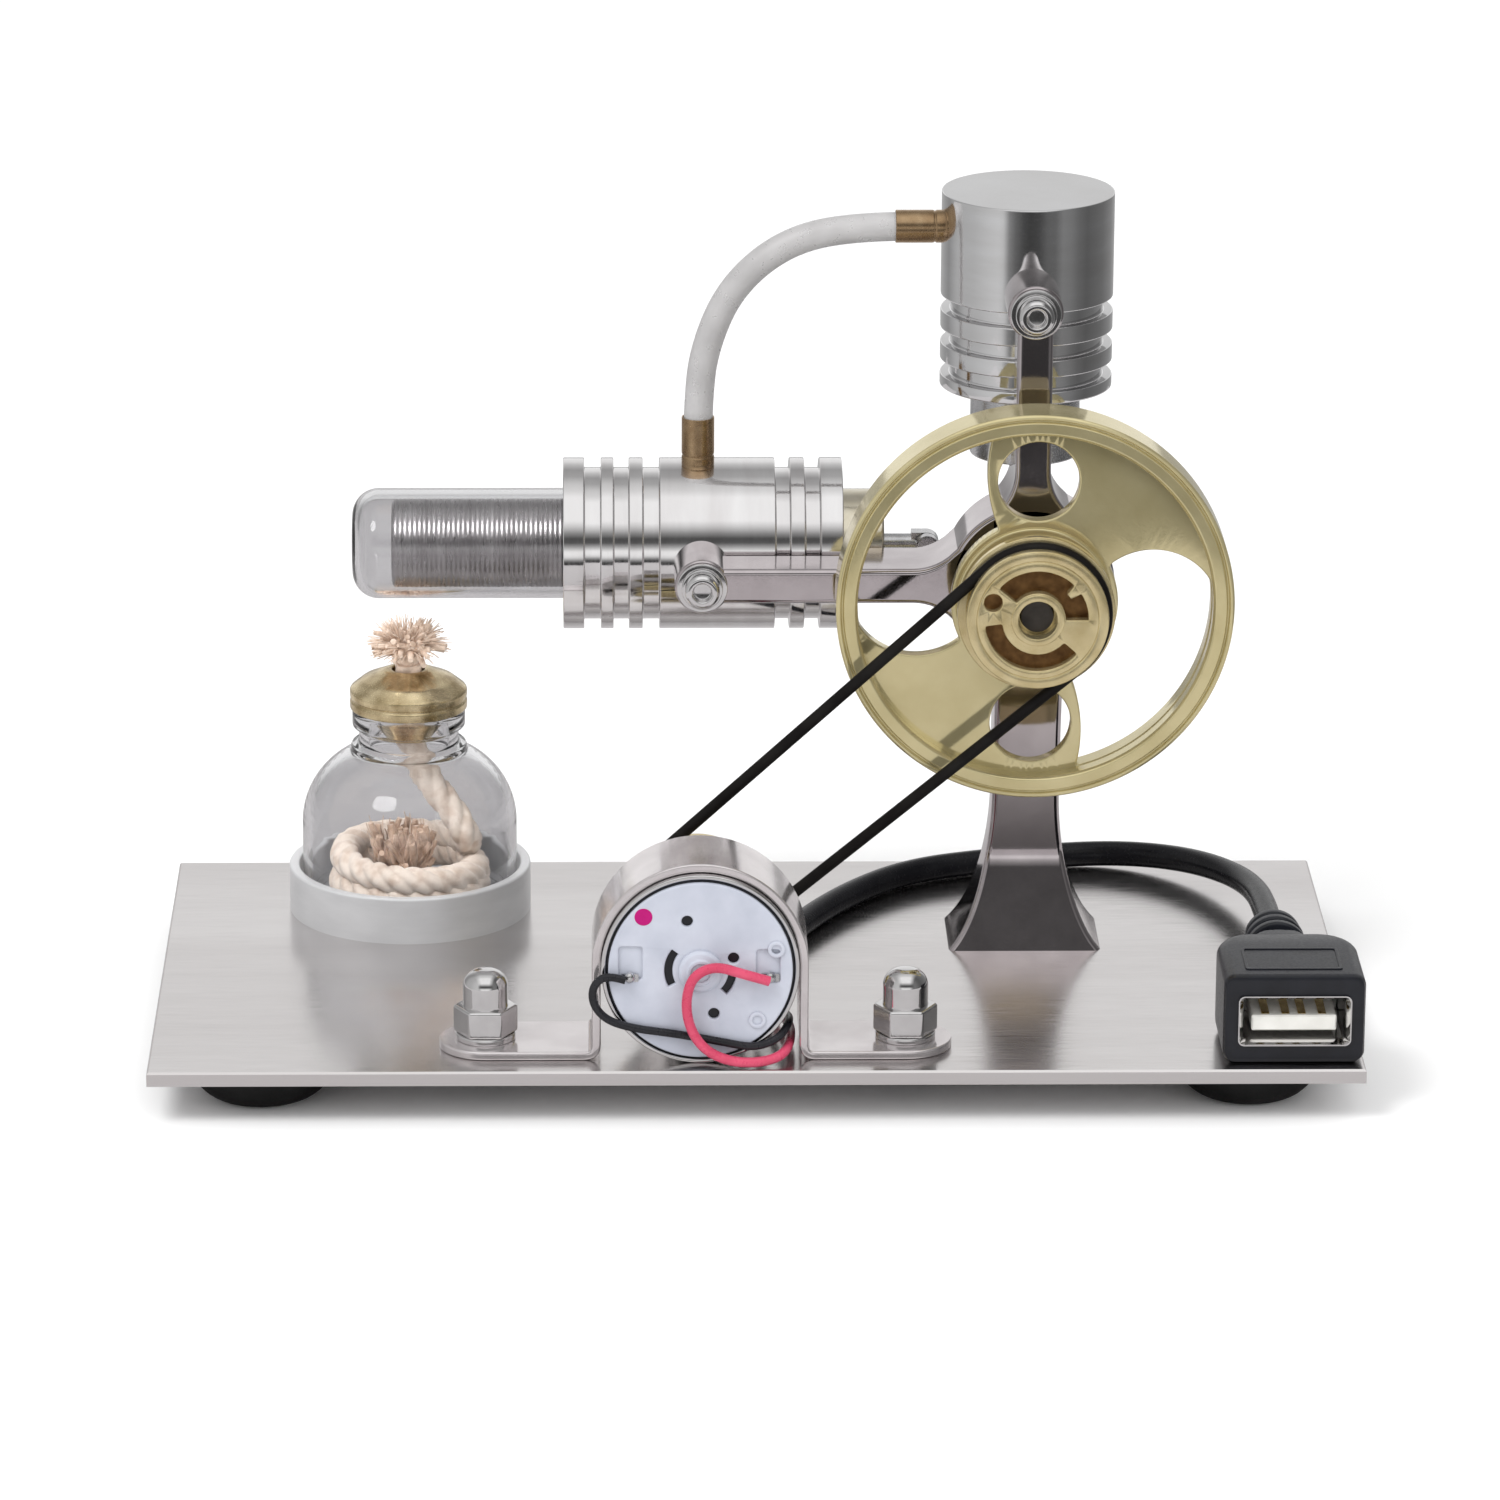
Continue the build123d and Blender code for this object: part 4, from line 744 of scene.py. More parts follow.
HOSE_ROUTE = [(21.45, 22.8, 98.1), (12.9, 22.8, 98.1), (4.3, 22.8, 96.0), (-2.5, 22.8, 90.1),
              (-5.9, 22.8, 81.9), (-6.6, 22.8, 74.5), (-6.6, 22.8, 70.05)]
RED_ROUTE = [(1.4, -38.4, 18.2), (-2.0, -39.0, 19.4), (-5.2, -39.2, 20.5), (-8.0, -39.2, 19.2),
             (-8.9, -39.2, 15.8), (-8.3, -39.2, 12.2), (-6.4, -39.2, 9.4), (-3.2, -39.1, 7.9),
             (0.5, -38.9, 7.75), (3.2, -37.8, 8.3), (4.2, -34.2, 8.9), (4.3, -27.0, 8.6),
             (2.25, -18.9, 8.7), (2.25, -12.0, 8.7)]
BLACK_ROUTE = [(-16.2, -38.3, 18.3), (-18.4, -38.1, 19.0), (-20.2, -37.95, 17.6),
               (-20.3, -37.95, 15.2), (-18.6, -37.95, 13.0), (-15.2, -37.95, 11.9),
               (-10.0, -37.95, 11.2), (-4.6, -37.95, 10.2), (-0.4, -37.95, 9.3),
               (2.6, -37.2, 10.2), (4.0, -34.8, 11.4), (4.1, -30.6, 11.0), (2.7, -25.2, 9.6),
               (0.95, -18.4, 8.7), (0.95, -12.0, 8.7)]
CABLE_ROUTE = [(66.2, -3.6, 12.65), (66.3, 6.6, 12.3), (65.6, 16.2, 11.5), (63.2, 24.6, 10.6),
               (58.6, 31.9, 9.8), (52.0, 36.6, 9.1), (44.6, 37.9, 8.7), (33.2, 35.3, 8.7),
               (21.5, 31.0, 8.7), (12.9, 21.4, 8.7), (6.2, 9.4, 8.7), (1.6, -3.2, 8.7),
               (1.6, -12.0, 8.7)]
HOSE_D, USB_CABLE_D, RED_LEAD_D, BLACK_LEAD_D, WICK_D = 3.7, 3.3, 1.25, 1.0, 3.8


def add_cord(name, route, diameter, slot, material, node):
    cord = dressed(route_curve(name, route, diameter), "root", slot, material, node)
    length = length_of(line_of(name, route))


def add_cords():
    m = MATERIALS
    add_cord("hose", HOSE_ROUTE, HOSE_D, "clear_silicone", m["hose"], "air_hose")
    add_cord("motor_lead_red", RED_ROUTE, RED_LEAD_D, "red_pvc", m["red"], "red_lead")
    add_cord("motor_lead_black", BLACK_ROUTE, BLACK_LEAD_D, "black_pvc", m["black"], "black_lead")
    add_cord("socket_cable", CABLE_ROUTE, USB_CABLE_D, "black_pvc", m["cable"], "usb_cable")


# ---- wick ----

WICK_ROUTE = [(0.0, 0.0, 30.45), (1.6, -0.2, 25.2), (5.6, -0.8, 20.4), (7.6, -1.4, 16.45)]
COIL_TURNS, COIL_STEPS = 2.0, 14


def wick_route():
    """Down from the cap, then two loose turns on the bottle's floor."""
    low, high, middle = place("wick_coil")
    top, bottom = high.z - WICK_D / 2 - 0.3, low.z + WICK_D / 2 + 0.05
    outer = high.x - middle.x - WICK_D / 2 - 0.15
    points = [(LAMP.x + x, LAMP.y + y, z) for x, y, z in WICK_ROUTE]
    count = int(COIL_TURNS * COIL_STEPS)
    for k in range(1, count + 1):
        angle = math.radians(4 + 360 / COIL_STEPS * k)
        radius = (outer - 0.35 * abs(math.sin(1.3 * angle))) / math.cos(math.pi / COIL_STEPS)
        drop = min(1.0, max(0.0, (k / count - 0.25) / 0.45))
        points.append((LAMP.x + radius * math.cos(angle), LAMP.y + radius * math.sin(angle),
                       top + (bottom - top) * drop))
    return points


def strand_section(count, radius, twist):
    """Outline of twisted strands, turned a little at each step along the rope."""
    def section(step):
        outline = []
        for k in range(48):
            a = 2 * math.pi * k / 48
            dip = abs(math.sin(count / 2 * (a - twist * step)))
            outline.append((radius * (0.80 + 0.20 * dip) * math.cos(a),
                            radius * (0.80 + 0.20 * dip) * math.sin(a)))
        return outline
    return section


def add_wick():
    line = line_of("wick_line", wick_route())
    rope = piece("wick", tube_along(line, strand_section(4, WICK_D / 2, 0.16)), "spirit_lamp",
                 "wick_cotton", MATERIALS["cotton"], "wick_rope", "wick_coil", sharp=70)
    add_tuft()


def add_tuft():
    """Stem through the cap, thick frayed strands that curl over it, and fine fibres."""
    random.seed(7)
    low, high, middle = place("wick_tuft")
    cap_top = place("lamp_cap")[1].z
    stem = [(middle.x, middle.y, low.z + (cap_top + 0.6 - low.z) * k / 20) for k in range(21)]
    shapes = [tube_along(stem, strand_section(4, WICK_D / 2, 0.2))]
    shapes += ball_tuft((middle.x, middle.y, cap_top - 0.3), high.x - middle.x + 0.9,
                        high.z - cap_top + 0.2, 90, 260)
    piece("wick_head", join(*shapes), "spirit_lamp", "wick_cotton", MATERIALS["head"], "wick_tuft",
          sharp=70)
    low, high, middle = place("wick_coil")
    shapes = bush((LAMP.x - 1.0, LAMP.y - 0.8, low.z + 2.4), 5.7, 8.6, 56, 130)
    piece("wick_end", join(*shapes), "spirit_lamp", "wick_cotton", MATERIALS["singed"], sharp=70)


def ball_tuft(base, reach, height, thick_count, fine_count):
    """Frayed strands that rise out of one place and open into a loose ball."""
    shapes = []
    for k in range(thick_count + fine_count):
        thick = k < thick_count
        heading = math.radians(k * 137.5)
        size = random.uniform(0.38, 0.62) if thick else random.uniform(0.06, 0.12)
        lean = math.radians(random.uniform(8, 112))
        grow = random.uniform(0.75, 1.0) if thick else random.uniform(0.85, 1.05)
        out_to = 0.5 + (reach - size - 0.6) * math.sin(lean) * grow
        up_to = height * 0.5 * (1 + math.cos(lean) * grow) - size
        hump = height * 0.22 * math.sin(lean)
        bend = random.uniform(-0.7, 0.7)
        points = []
        for s in range(11):
            t = s / 10
            a = heading + bend * t
            out = 0.5 + (out_to - 0.5) * t ** 1.25
            up = up_to * t + hump * math.sin(math.pi * t ** 0.8)
            points.append((base[0] + out * math.cos(a), base[1] + out * math.sin(a), base[2] + up))
        taper = [size * (1 - 0.4 * (s / 10) ** 2) for s in range(11)]
        shapes.append(tube_along(points, circle(1.0, count=10 if thick else 5), taper))
    return shapes


def bush(base, reach, height, thick_count, fine_count):
    """Frayed strands that fan out of one place and curl in at their tips."""
    shapes = []
    for k in range(thick_count + fine_count):
        thick = k < thick_count
        heading = math.radians(k * 137.5)
        size = random.uniform(0.42, 0.72) if thick else random.uniform(0.06, 0.12)
        out_to = (reach - size - 0.1) * math.sqrt(random.uniform(0.02, 1.0))
        up_to = (height - size - 0.1) * random.uniform(0.35, 1.0)
        bend, curl = random.uniform(-0.9, 0.9), random.uniform(0.0, 0.3)
        points = []
        for s in range(11):
            t = s / 10
            a = heading + bend * t
            out = 0.6 + (out_to - 0.6) * t ** 0.8 * (1 - curl * t ** 4)
            up = up_to * (t ** 1.1) * (1 - 0.3 * curl * t ** 4)
            points.append((base[0] + out * math.cos(a), base[1] + out * math.sin(a), base[2] + max(size, up)))
        taper = [size * (1 - 0.4 * (s / 10) ** 2) for s in range(11)]
        shapes.append(tube_along(points, circle(1.0, count=10 if thick else 5), taper))
    return shapes


# ---- spirit lamp ----

def add_lamp():
    m = MATERIALS
    at = (LAMP.x, LAMP.y, 0)
    low, high, middle = place("lamp_ring")
    radius, z0, z1 = high.x - middle.x, low.z, high.z
    wall, floor = 1.3, 0.8
    profile = soften([(radius, z0), (radius, z1), (radius - wall, z1), (radius - wall, z0 + floor),
                      (0, z0 + floor)], 0.35, closed=False)
    piece("lamp_cup", lathe([(0, z0)] + profile, "z", at), "root", "satin_aluminium", m["aluminium"],
          "lamp_ring")
    low, high, middle = place("lamp_bottle")
    radius, base, top = high.x - middle.x, low.z, high.z
    outside = [(0, base), (radius - 0.9, base), (radius, base + 0.9), (radius, 18.0)]
    outside += arc((radius, 18.0), (12.45, 24.0), (7.9, 28.2))[1:]
    outside += [(7.5, 28.5), (7.5, 29.3), (6.45, 29.7), (6.45, 31.4), (7.3, 31.8), (7.3, 33.7), (6.9, top)]
    inside = [(5.2, top), (5.2, 28.4), (7.2, 27.2)]
    inside += arc((7.2, 27.2), (11.5, 23.4), (12.8, 18.0))[1:]
    inside += [(12.8, base + 1.9), (12.0, base + 1.1), (0, base + 1.1)]
    glass_wall = soften(outside + inside, 0.3, closed=False)
    bottle = piece("bottle", lathe(glass_wall, "z", at, 192), "spirit_lamp", "clear_glass", m["glass"],
                   "lamp_bottle", sharp=60)
    bottle.visible_shadow = False
    low, high, middle = place("lamp_cap")
    rim, hole = high.x - middle.x, 2.1
    profile = [(hole, low.z), (2.8, low.z), (5.1, low.z + 2.5), (5.1, top + 0.05), (rim, top + 0.05),
               (rim, top + 1.1), (rim - 0.25, top + 1.4), (rim, top + 1.7), (rim, top + 2.6),
               (rim - 0.5, top + 3.0), (6.0, top + 3.9), (4.4, high.z - 0.75), (2.9, high.z - 0.1),
               (hole, high.z)]
    piece("bottle_cap", lathe(soften(profile, 0.3), "z", at), "spirit_lamp", "yellow_brass",
          m["cap_brass"], "lamp_cap")
    add_wick()


# ---- hot side ----

HOT_STEPS = (2.7, 2.13, 1.63, 1.97, 1.78, 2.13, 14.8, 1.9, 1.88, 1.96, 2.9)
GROOVE_DEPTH = 1.25


def add_hot_side():
    m = MATERIALS
    at = (0, HOT.y, HOT.z)
    radius = HOT_HIGH.z - HOT.z
    bore = 7.15
    profile = [(bore, HOT_LOW.x), (radius, HOT_LOW.x)]
    x = HOT_LOW.x
    for i, step in enumerate(HOT_STEPS):
        if i % 2:
            profile += [(radius, x), (radius - GROOVE_DEPTH, x), (radius - GROOVE_DEPTH, x + step),
                        (radius, x + step)]
        x += step
    profile += [(radius, HOT_HIGH.x), (GUIDE_BORE, HOT_HIGH.x), (GUIDE_BORE, GUIDE_LOW),
                (6.2, GUIDE_LOW), (6.2, TUBE_END), (bore, TUBE_END)]
    piece("hot_barrel", lathe(soften(profile, 0.16, steps=3), "x", at, 192), "root", "mirror_metal",
          m["hot_metal"], "displacer_cylinder")
    low, high, _ = place("rod_guide")
    profile = soften([(1.24, low.x), (GUIDE_BORE - 0.02, low.x), (GUIDE_BORE - 0.02, high.x),
                      (3.2, high.x), (3.0, high.x - 0.6), (1.24, high.x - 0.6)], 0.4)
    piece("guide", lathe(profile, "x", at), "root", "yellow_brass", m["pale_brass"], "rod_guide")
    add_glass_tube(at)
    add_displacer(at)


GUIDE_LOW, GUIDE_BORE = place("rod_guide")[0].x, 7.0
TUBE_END = place("glass_tube")[1].x


def add_glass_tube(at):
    low, high, middle = place("glass_tube")
    radius, wall, corner = high.z - middle.z, 0.9, 3.4
    bend = math.sqrt(0.5)

    def end_corner(r, x, size):
        return arc((r - size, x), (r - size * (1 - bend), x + size * (1 - bend)), (r, x + size))

    outside = [(0, low.x)] + end_corner(radius, low.x, corner) + [(radius, high.x)]
    inside = [(0, low.x + wall)] + end_corner(radius - wall, low.x + wall, corner - wall)
    inside += [(radius - wall, high.x)]
    tube = piece("hot_glass", lathe(outside + inside[::-1], "x", at, 192), "root", "clear_glass",
                 MATERIALS["tube_glass"], "glass_tube", sharp=60)
    tube.visible_shadow = False


def add_displacer(at):
    """Thin steel can with fine turned rings."""
    low, high, middle = place("displacer")
    radius, pitch, groove = high.z - middle.z, 0.62, 0.07
    count = int((high.x - low.x - 1.2) / pitch)
    profile = [(0, low.x), (radius - 0.5, low.x), (radius - 0.12, low.x + 0.2), (radius, low.x + 0.6)]
    for k in range(count):
        x = low.x + 0.6 + pitch * k
        profile += [(radius, x + 0.16), (radius - groove, x + 0.3), (radius - groove, x + 0.46),
                    (radius, x + pitch)]
    profile += [(radius, high.x), (radius - 0.4, high.x), (radius - 0.4, high.x - 0.5), (0, high.x - 0.5)]
    piece("displacer_can", lathe(profile, "x", at), "displacer_slide", "displacer_steel",
          MATERIALS["displacer"], "displacer", sharp=60)


# ---- cold side ----

COLD_GROOVES = (80.0, 84.1, 88.4)
COLD_GROOVE_W = 1.9


def add_cold_side():
    m = MATERIALS
    at = (COLD.x, COLD.y, 0)
    radius = COLD_HIGH.x - COLD.x
    low, high = COLD_LOW.z, COLD_HIGH.z
    profile = [(7.05, low), (radius, low)]
    for z in COLD_GROOVES:
        a, b = z - COLD_GROOVE_W / 2, z + COLD_GROOVE_W / 2
        profile += [(radius, a), (radius - GROOVE_DEPTH, a), (radius - GROOVE_DEPTH, b), (radius, b)]
    profile += [(radius, high), (0, high)]
    rounded = soften(profile, 0.2, closed=False, steps=3)
    piece("cold_barrel", lathe(rounded + [(0, high - 3), (6, high - 3), (6, 96.5), (7.05, 96.5)],
                               "z", at, 192),
          "root", "mirror_metal", m["cold_metal"], "power_cylinder")
    low, high, _ = place("power_liner")
    profile = soften([(6.0, low.z), (7.0, low.z), (7.0, high.z), (6.0, high.z)], 0.2)
    piece("cold_liner", lathe(profile, "z", at), "root", "bright_steel", m["steel"], "power_liner")


def add_ports():
    """Turned brass hose fittings with a collar at the barrel."""
    m = MATERIALS
    bore = HOSE_D / 2 + 0.04
    profile = soften([(1.0, -3.5), (1.48, -3.5), (1.48, 0.0), (2.1, 0.0), (2.1, 0.9), (1.95, 1.1),
                      (2.1, 1.3), (2.1, 6.1), (bore, 6.1), (bore, 3.1), (1.0, 3.1)], 0.12)
    low, high, middle = place("displacer_port")
    shape = lathe(profile, "z", (middle.x, middle.y, high.z - 6.1), 72)
    piece("hot_port", shape, "root", "yellow_brass", m["old_brass"], "displacer_port")
    low, high, middle = place("power_port")
    mirrored = [(r, -h) for r, h in profile]
    shape = lathe(mirrored, "x", (low.x + 6.1, middle.y, middle.z), 72)
    piece("cold_port", shape, "root", "yellow_brass", m["old_brass"], "power_port")


# ---- stand ----

ARM_Y0, ARM_Y1, WEB_Y1 = 2.8, 9.8, 13.3
BOSS_R, ARM_HALF, ARM_BLEND_R = 10.6, 2.25, 7.0
NECK_HALF, FOOT_HALF, NECK_Z = 4.3, 9.75, 27.5
FOOT_FRONT, KICK_FRONT, KICK_Z = 4.0, 7.8, 18.6
EYE_R = 3.5


def arm_half_width(out):
    """Half width of an arm at a distance from the shaft, with the blend into the boss."""
    centre = math.sqrt((BOSS_R + ARM_BLEND_R) ** 2 - (ARM_HALF + ARM_BLEND_R) ** 2)
    if out >= centre:
        return ARM_HALF
    return ARM_HALF + ARM_BLEND_R - math.sqrt(ARM_BLEND_R ** 2 - (centre - out) ** 2)


def arm(length, thin_from):
    """Arm along +X from the boss. Sections are in the YZ plane."""
    start = BOSS_R / (BOSS_R + ARM_BLEND_R) * math.sqrt(
        (BOSS_R + ARM_BLEND_R) ** 2 - (ARM_HALF + ARM_BLEND_R) ** 2)
    stations = [start - 1.5, start - 0.4]
    stations += [start + (thin_from - start) * k / 16 for k in range(1, 16)]
    stations += [thin_from - 0.25, thin_from + 0.25, thin_from + 0.6, length - 1.0, length + 1.0]
    rings = []
    for out in stations:
        back = WEB_Y1 if out < thin_from else ARM_Y1
        half = arm_half_width(max(out, start))
        middle, deep = (ARM_Y0 + back) / 2, (back - ARM_Y0) / 2
        rings.append([(out, middle + d, h) for d, h in rounded_rect(deep, half, 0.7)])
    return loft(rings)


def column():
    """Flared column. Its front kicks out at the foot, and its back and sides are concave."""
    top, foot = SHAFT.z - BOSS_R + 2.0, PLATE_TOP
    rings = []
    for k in range(41):
        z = foot + (top - foot) * k / 40
        low = max(0.0, (NECK_Z - z) / (NECK_Z - foot))
        half = NECK_HALF + (FOOT_HALF - NECK_HALF) * (1 - math.sqrt(1 - 0.84 * low ** 2)) / 0.6
        if z < KICK_Z:
            front = FOOT_FRONT + (KICK_FRONT - FOOT_FRONT) * (z - foot) / (KICK_Z - foot)
        else:
            climb = (z - KICK_Z) / (top - KICK_Z)
            front = KICK_FRONT + (ARM_Y0 - KICK_FRONT) * climb ** 1.9
        back = WEB_Y1 + 4.2 * low ** 2
        middle, deep = (front + back) / 2, (back - front) / 2
        rings.append([(SHAFT.x + x, middle + y, z) for x, y in rounded_rect(half, deep, 0.8)])
    return loft(rings)


def add_stand():
    hot_eye = place("arm_screws")[0].x + 2.2
    cold_eye = place("arm_screws")[1].z - 2.2
    at = (SHAFT.x, 0, SHAFT.z)
    boss = soften([(5.0, ARM_Y0), (BOSS_R, ARM_Y0), (BOSS_R, WEB_Y1), (5.0, WEB_Y1)], 0.7)
    left = moved(arm(SHAFT.x - hot_eye, SHAFT.x - HOT_HIGH.x - 2.6),
                 Matrix.Translation(at) @ Matrix.Rotation(math.pi, 4, "Y"))
    up = moved(arm(cold_eye - SHAFT.z, COLD_LOW.z - 2.6 - SHAFT.z),
               Matrix.Translation(at) @ Matrix.Rotation(-math.pi / 2, 4, "Y"))
    shapes = [lathe(boss, "y", at), left, up, column()]
    eye = soften([(1.3, ARM_Y0), (EYE_R, ARM_Y0), (EYE_R, HOT.y - 10.6), (1.3, HOT.y - 10.6)], 0.5)
    for x, z in ((hot_eye, SHAFT.z), (SHAFT.x, cold_eye)):
        shapes.append(lathe(eye, "y", (x, 0, z), 72))
    piece("stand", join(*shapes), "root", "dark_chrome", MATERIALS["casting"], "stand_casting")
    add_arm_fasteners(((hot_eye, SHAFT.z), (SHAFT.x, cold_eye)))
    add_foot_screws()


def add_foot_screws():
    """Socket screws under the plate. Their threads end inside the column's foot."""
    low, high, middle = place("stand_screws")
    radius, under = 2.8, low.z + 1.8
    profile = soften([(0, low.z + 1.2), (1.2, low.z + 1.2), (1.2, low.z), (radius, low.z), (radius, under),
                      (1.48, under), (1.48, PLATE_TOP + 3.0), (1.1, PLATE_TOP + 3.5), (0, PLATE_TOP + 3.5)],
                     0.15, closed=False)
    screws = [lathe(profile, "z", (x, middle.y, 0), 72) for x in (low.x + radius, high.x - radius)]
    piece("foot_screws", join(*screws), "root", "bright_steel", MATERIALS["steel"], "stand_screws")


def hexagon(across, turn=0.0):
    radius = across / 2 / math.cos(math.radians(30))
    angles = [math.radians(60 * k + turn) for k in range(6)]
    return [(radius * math.cos(a), radius * math.sin(a)) for a in angles]


def add_arm_fasteners(places):
    heads, washers = [], []
    for x, z in places:
        at = (x, 0, z)
        head = [(0, 3.0), (1.25, 3.0), (1.25, 1.6), (2.2, 1.6), (2.2, 0.5), (1.85, 0.12), (1.3, 0.1),
                (1.15, 0.3), (1.1, 1.0), (0, 1.0)]
        heads.append(lathe(soften(head, 0.15, closed=False), "y", at, 72))
        flat = soften([(1.3, 2.2), (3.2, 2.2), (3.2, ARM_Y0), (1.3, ARM_Y0)], 0.15)
        spring = soften([(1.3, 1.6), (2.6, 1.6), (2.6, 2.2), (1.3, 2.2)], 0.15)
        washers += [lathe(flat, "y", at, 72), lathe(spring, "y", at, 72)]
    piece("arm_bolts", join(*heads), "root", "bright_steel", MATERIALS["chrome"], "arm_screws")
    piece("arm_rings", join(*washers), "root", "bright_steel", MATERIALS["chrome"], "arm_washers")


# ---- flywheel and pulleys ----

RIM_R, RIM_IN_R, RIM_Y0, RIM_Y1 = 25.0, 22.3, -6.6, -0.6
WEB_Y0, WEB_T, WEB_HUB_R = -4.2, 2.2, 10.5


def web_opening():
    """Upper left opening of the wheel's web, about the shaft, seen from the front."""
    inner, outer = WEB_HUB_R, RIM_IN_R - 0.1
    rim_low = (-22.0, -math.sqrt(outer ** 2 - 22.0 ** 2))
    hub_low = (-9.3, -math.sqrt(inner ** 2 - 9.3 ** 2))
    outline = arc(rim_low, (-14.4, -6.9), hub_low)
    turn = [math.degrees(math.atan2(y, x)) % 360 for x, y in (hub_low, rim_low)]
    top = [math.degrees(math.acos(x / r)) for x, r in ((-4.6, inner), (-5.6, outer))]
    outline += polar_arc(inner, turn[0], top[0])[1:]
    hub_top, rim_top = outline[-1], polar_arc(outer, top[1], top[1], 1)[0]
    outline += arc(hub_top, (-6.1, 15.8), rim_top)[1:]
    outline += polar_arc(outer, top[1], turn[1])[1:-1]
    return soften(outline, 0.5, steps=2)


def add_flywheel():
    m = MATERIALS
    at = (SHAFT.x, 0, SHAFT.z)
    rim = soften([(RIM_IN_R, RIM_Y0 + 0.35), (RIM_IN_R + 0.35, RIM_Y0), (RIM_R - 1.0, RIM_Y0),
                  (RIM_R - 0.9, RIM_Y0 + 0.45), (RIM_R - 0.65, RIM_Y0 + 0.45), (RIM_R - 0.55, RIM_Y0 + 0.05),
                  (RIM_R - 0.25, RIM_Y0 + 0.05), (RIM_R, RIM_Y0 + 0.3), (RIM_R, RIM_Y1),
                  (RIM_IN_R, RIM_Y1)], 0.12, steps=3)
    openings = [web_opening(), [(-x, -y) for x, y in web_opening()]]
    holes = [circle(5.1, 0.3, 15.8), circle(5.1, -0.3, -15.8), circle(2.0, count=48)]
    web = cut_sheet([circle(RIM_IN_R + 0.9, count=192)] + openings + holes, WEB_T, 0.25, "y",
                    (SHAFT.x, WEB_Y0, SHAFT.z))
    hub = soften([(2.0, WEB_Y0 + 1), (4.5, WEB_Y0 + 1), (4.5, WHEEL_HIGH.y), (2.0, WHEEL_HIGH.y)], 0.3)
    disc = soften([(2.0, WEB_Y0 - 0.35), (9.7, WEB_Y0 - 0.35), (10.1, WEB_Y0 + 0.3),
                   (2.0, WEB_Y0 + 0.3)], 0.2)
    shape = join(lathe(rim, "y", at, 240), web, lathe(hub, "y", at, 72), lathe(disc, "y", at))
    piece("wheel", shape, "crank", "wheel_brass", m["wheel_brass"], "flywheel")
    add_drive_pulley(at)


PULLEY_Y0, PULLEY_Y1, WALL = -11.7, -7.3, 1.4


def add_drive_pulley(at):
    """Round-groove pulley with curved pockets in its face."""
    floor, front, rear = 7.94, 8.9, 9.9
    y0, y1, face = PULLEY_Y0, PULLEY_Y1, 7.6
    depth = 2.6
    profile = [(face, y0), (front, y0), (front, y0 + WALL)]
    profile += arc((front, y0 + WALL), (floor, (y0 + y1) / 2), (front, y1 - WALL), 10)[1:-1]
    profile += [(rear, y1 - WALL), (rear, y1), (8.0, y1 + 0.1), (8.0, WEB_Y0 - 0.35), (2.0, WEB_Y0 - 0.35),
                (2.0, y0 + depth - 0.1), (face, y0 + depth - 0.1)]
    pockets = [arc_slot(4.5, 6.6, 187, 318, 0.5), circle(1.15, -5.6, 2.25, 40), circle(2.45, count=48)]
    upper = polar_arc(6.3, 0, 32) + polar_arc(4.9, 34, 43, 6) + polar_arc(6.3, 45, 140)
    upper += polar_arc(3.5, 140, 0)
    pockets.append(soften(upper, 0.35, steps=2))
    front_face = cut_sheet([circle(face + 0.05)] + pockets, depth, 0.18, "y", (at[0], y0, at[2]))
    # Near-black sheet part way down the pockets: painted shade in the recesses.
    dark = soften([(2.5, y0 + 1.3), (face - 0.1, y0 + 1.3), (face - 0.1, y0 + 1.6), (2.5, y0 + 1.6)], 0.05)
    piece("pulley_pocket_shade", lathe(dark, "y", at), "crank", "yellow_brass", MATERIALS["pocket"])
    collar = soften([(2.45, y0 - 0.12), (3.3, y0 - 0.12), (3.45, y0 + 0.4), (2.45, y0 + 0.4)], 0.12)
    shape = join(lathe(soften(profile, 0.2, steps=3), "y", at), front_face, lathe(collar, "y", at, 72))
    piece("big_pulley", shape, "crank", "yellow_brass", MATERIALS["pulley_brass"], "drive_pulley")


def add_motor_pulley():
    low, high, middle = place("motor_pulley")
    radius, floor = high.x - middle.x, 6.64
    y0, y1 = PULLEY_Y0, PULLEY_Y1
    profile = [(1.0, low.y), (2.6, low.y), (2.6, y0), (radius, y0), (radius, y0 + WALL)]
    profile += arc((radius, y0 + WALL), (floor, (y0 + y1) / 2), (radius, y1 - WALL), 10)[1:-1]
    profile += [(radius, y1 - WALL), (radius, y1), (3.0, y1), (2.6, y1 - 0.5), (1.0, y1 - 0.5)]
    piece("small_pulley", lathe(soften(profile, 0.2, steps=3), "y", (MOTOR.x, 0, MOTOR.z)), "motor_rotor",
          "yellow_brass", MATERIALS["pulley_brass"], "motor_pulley")


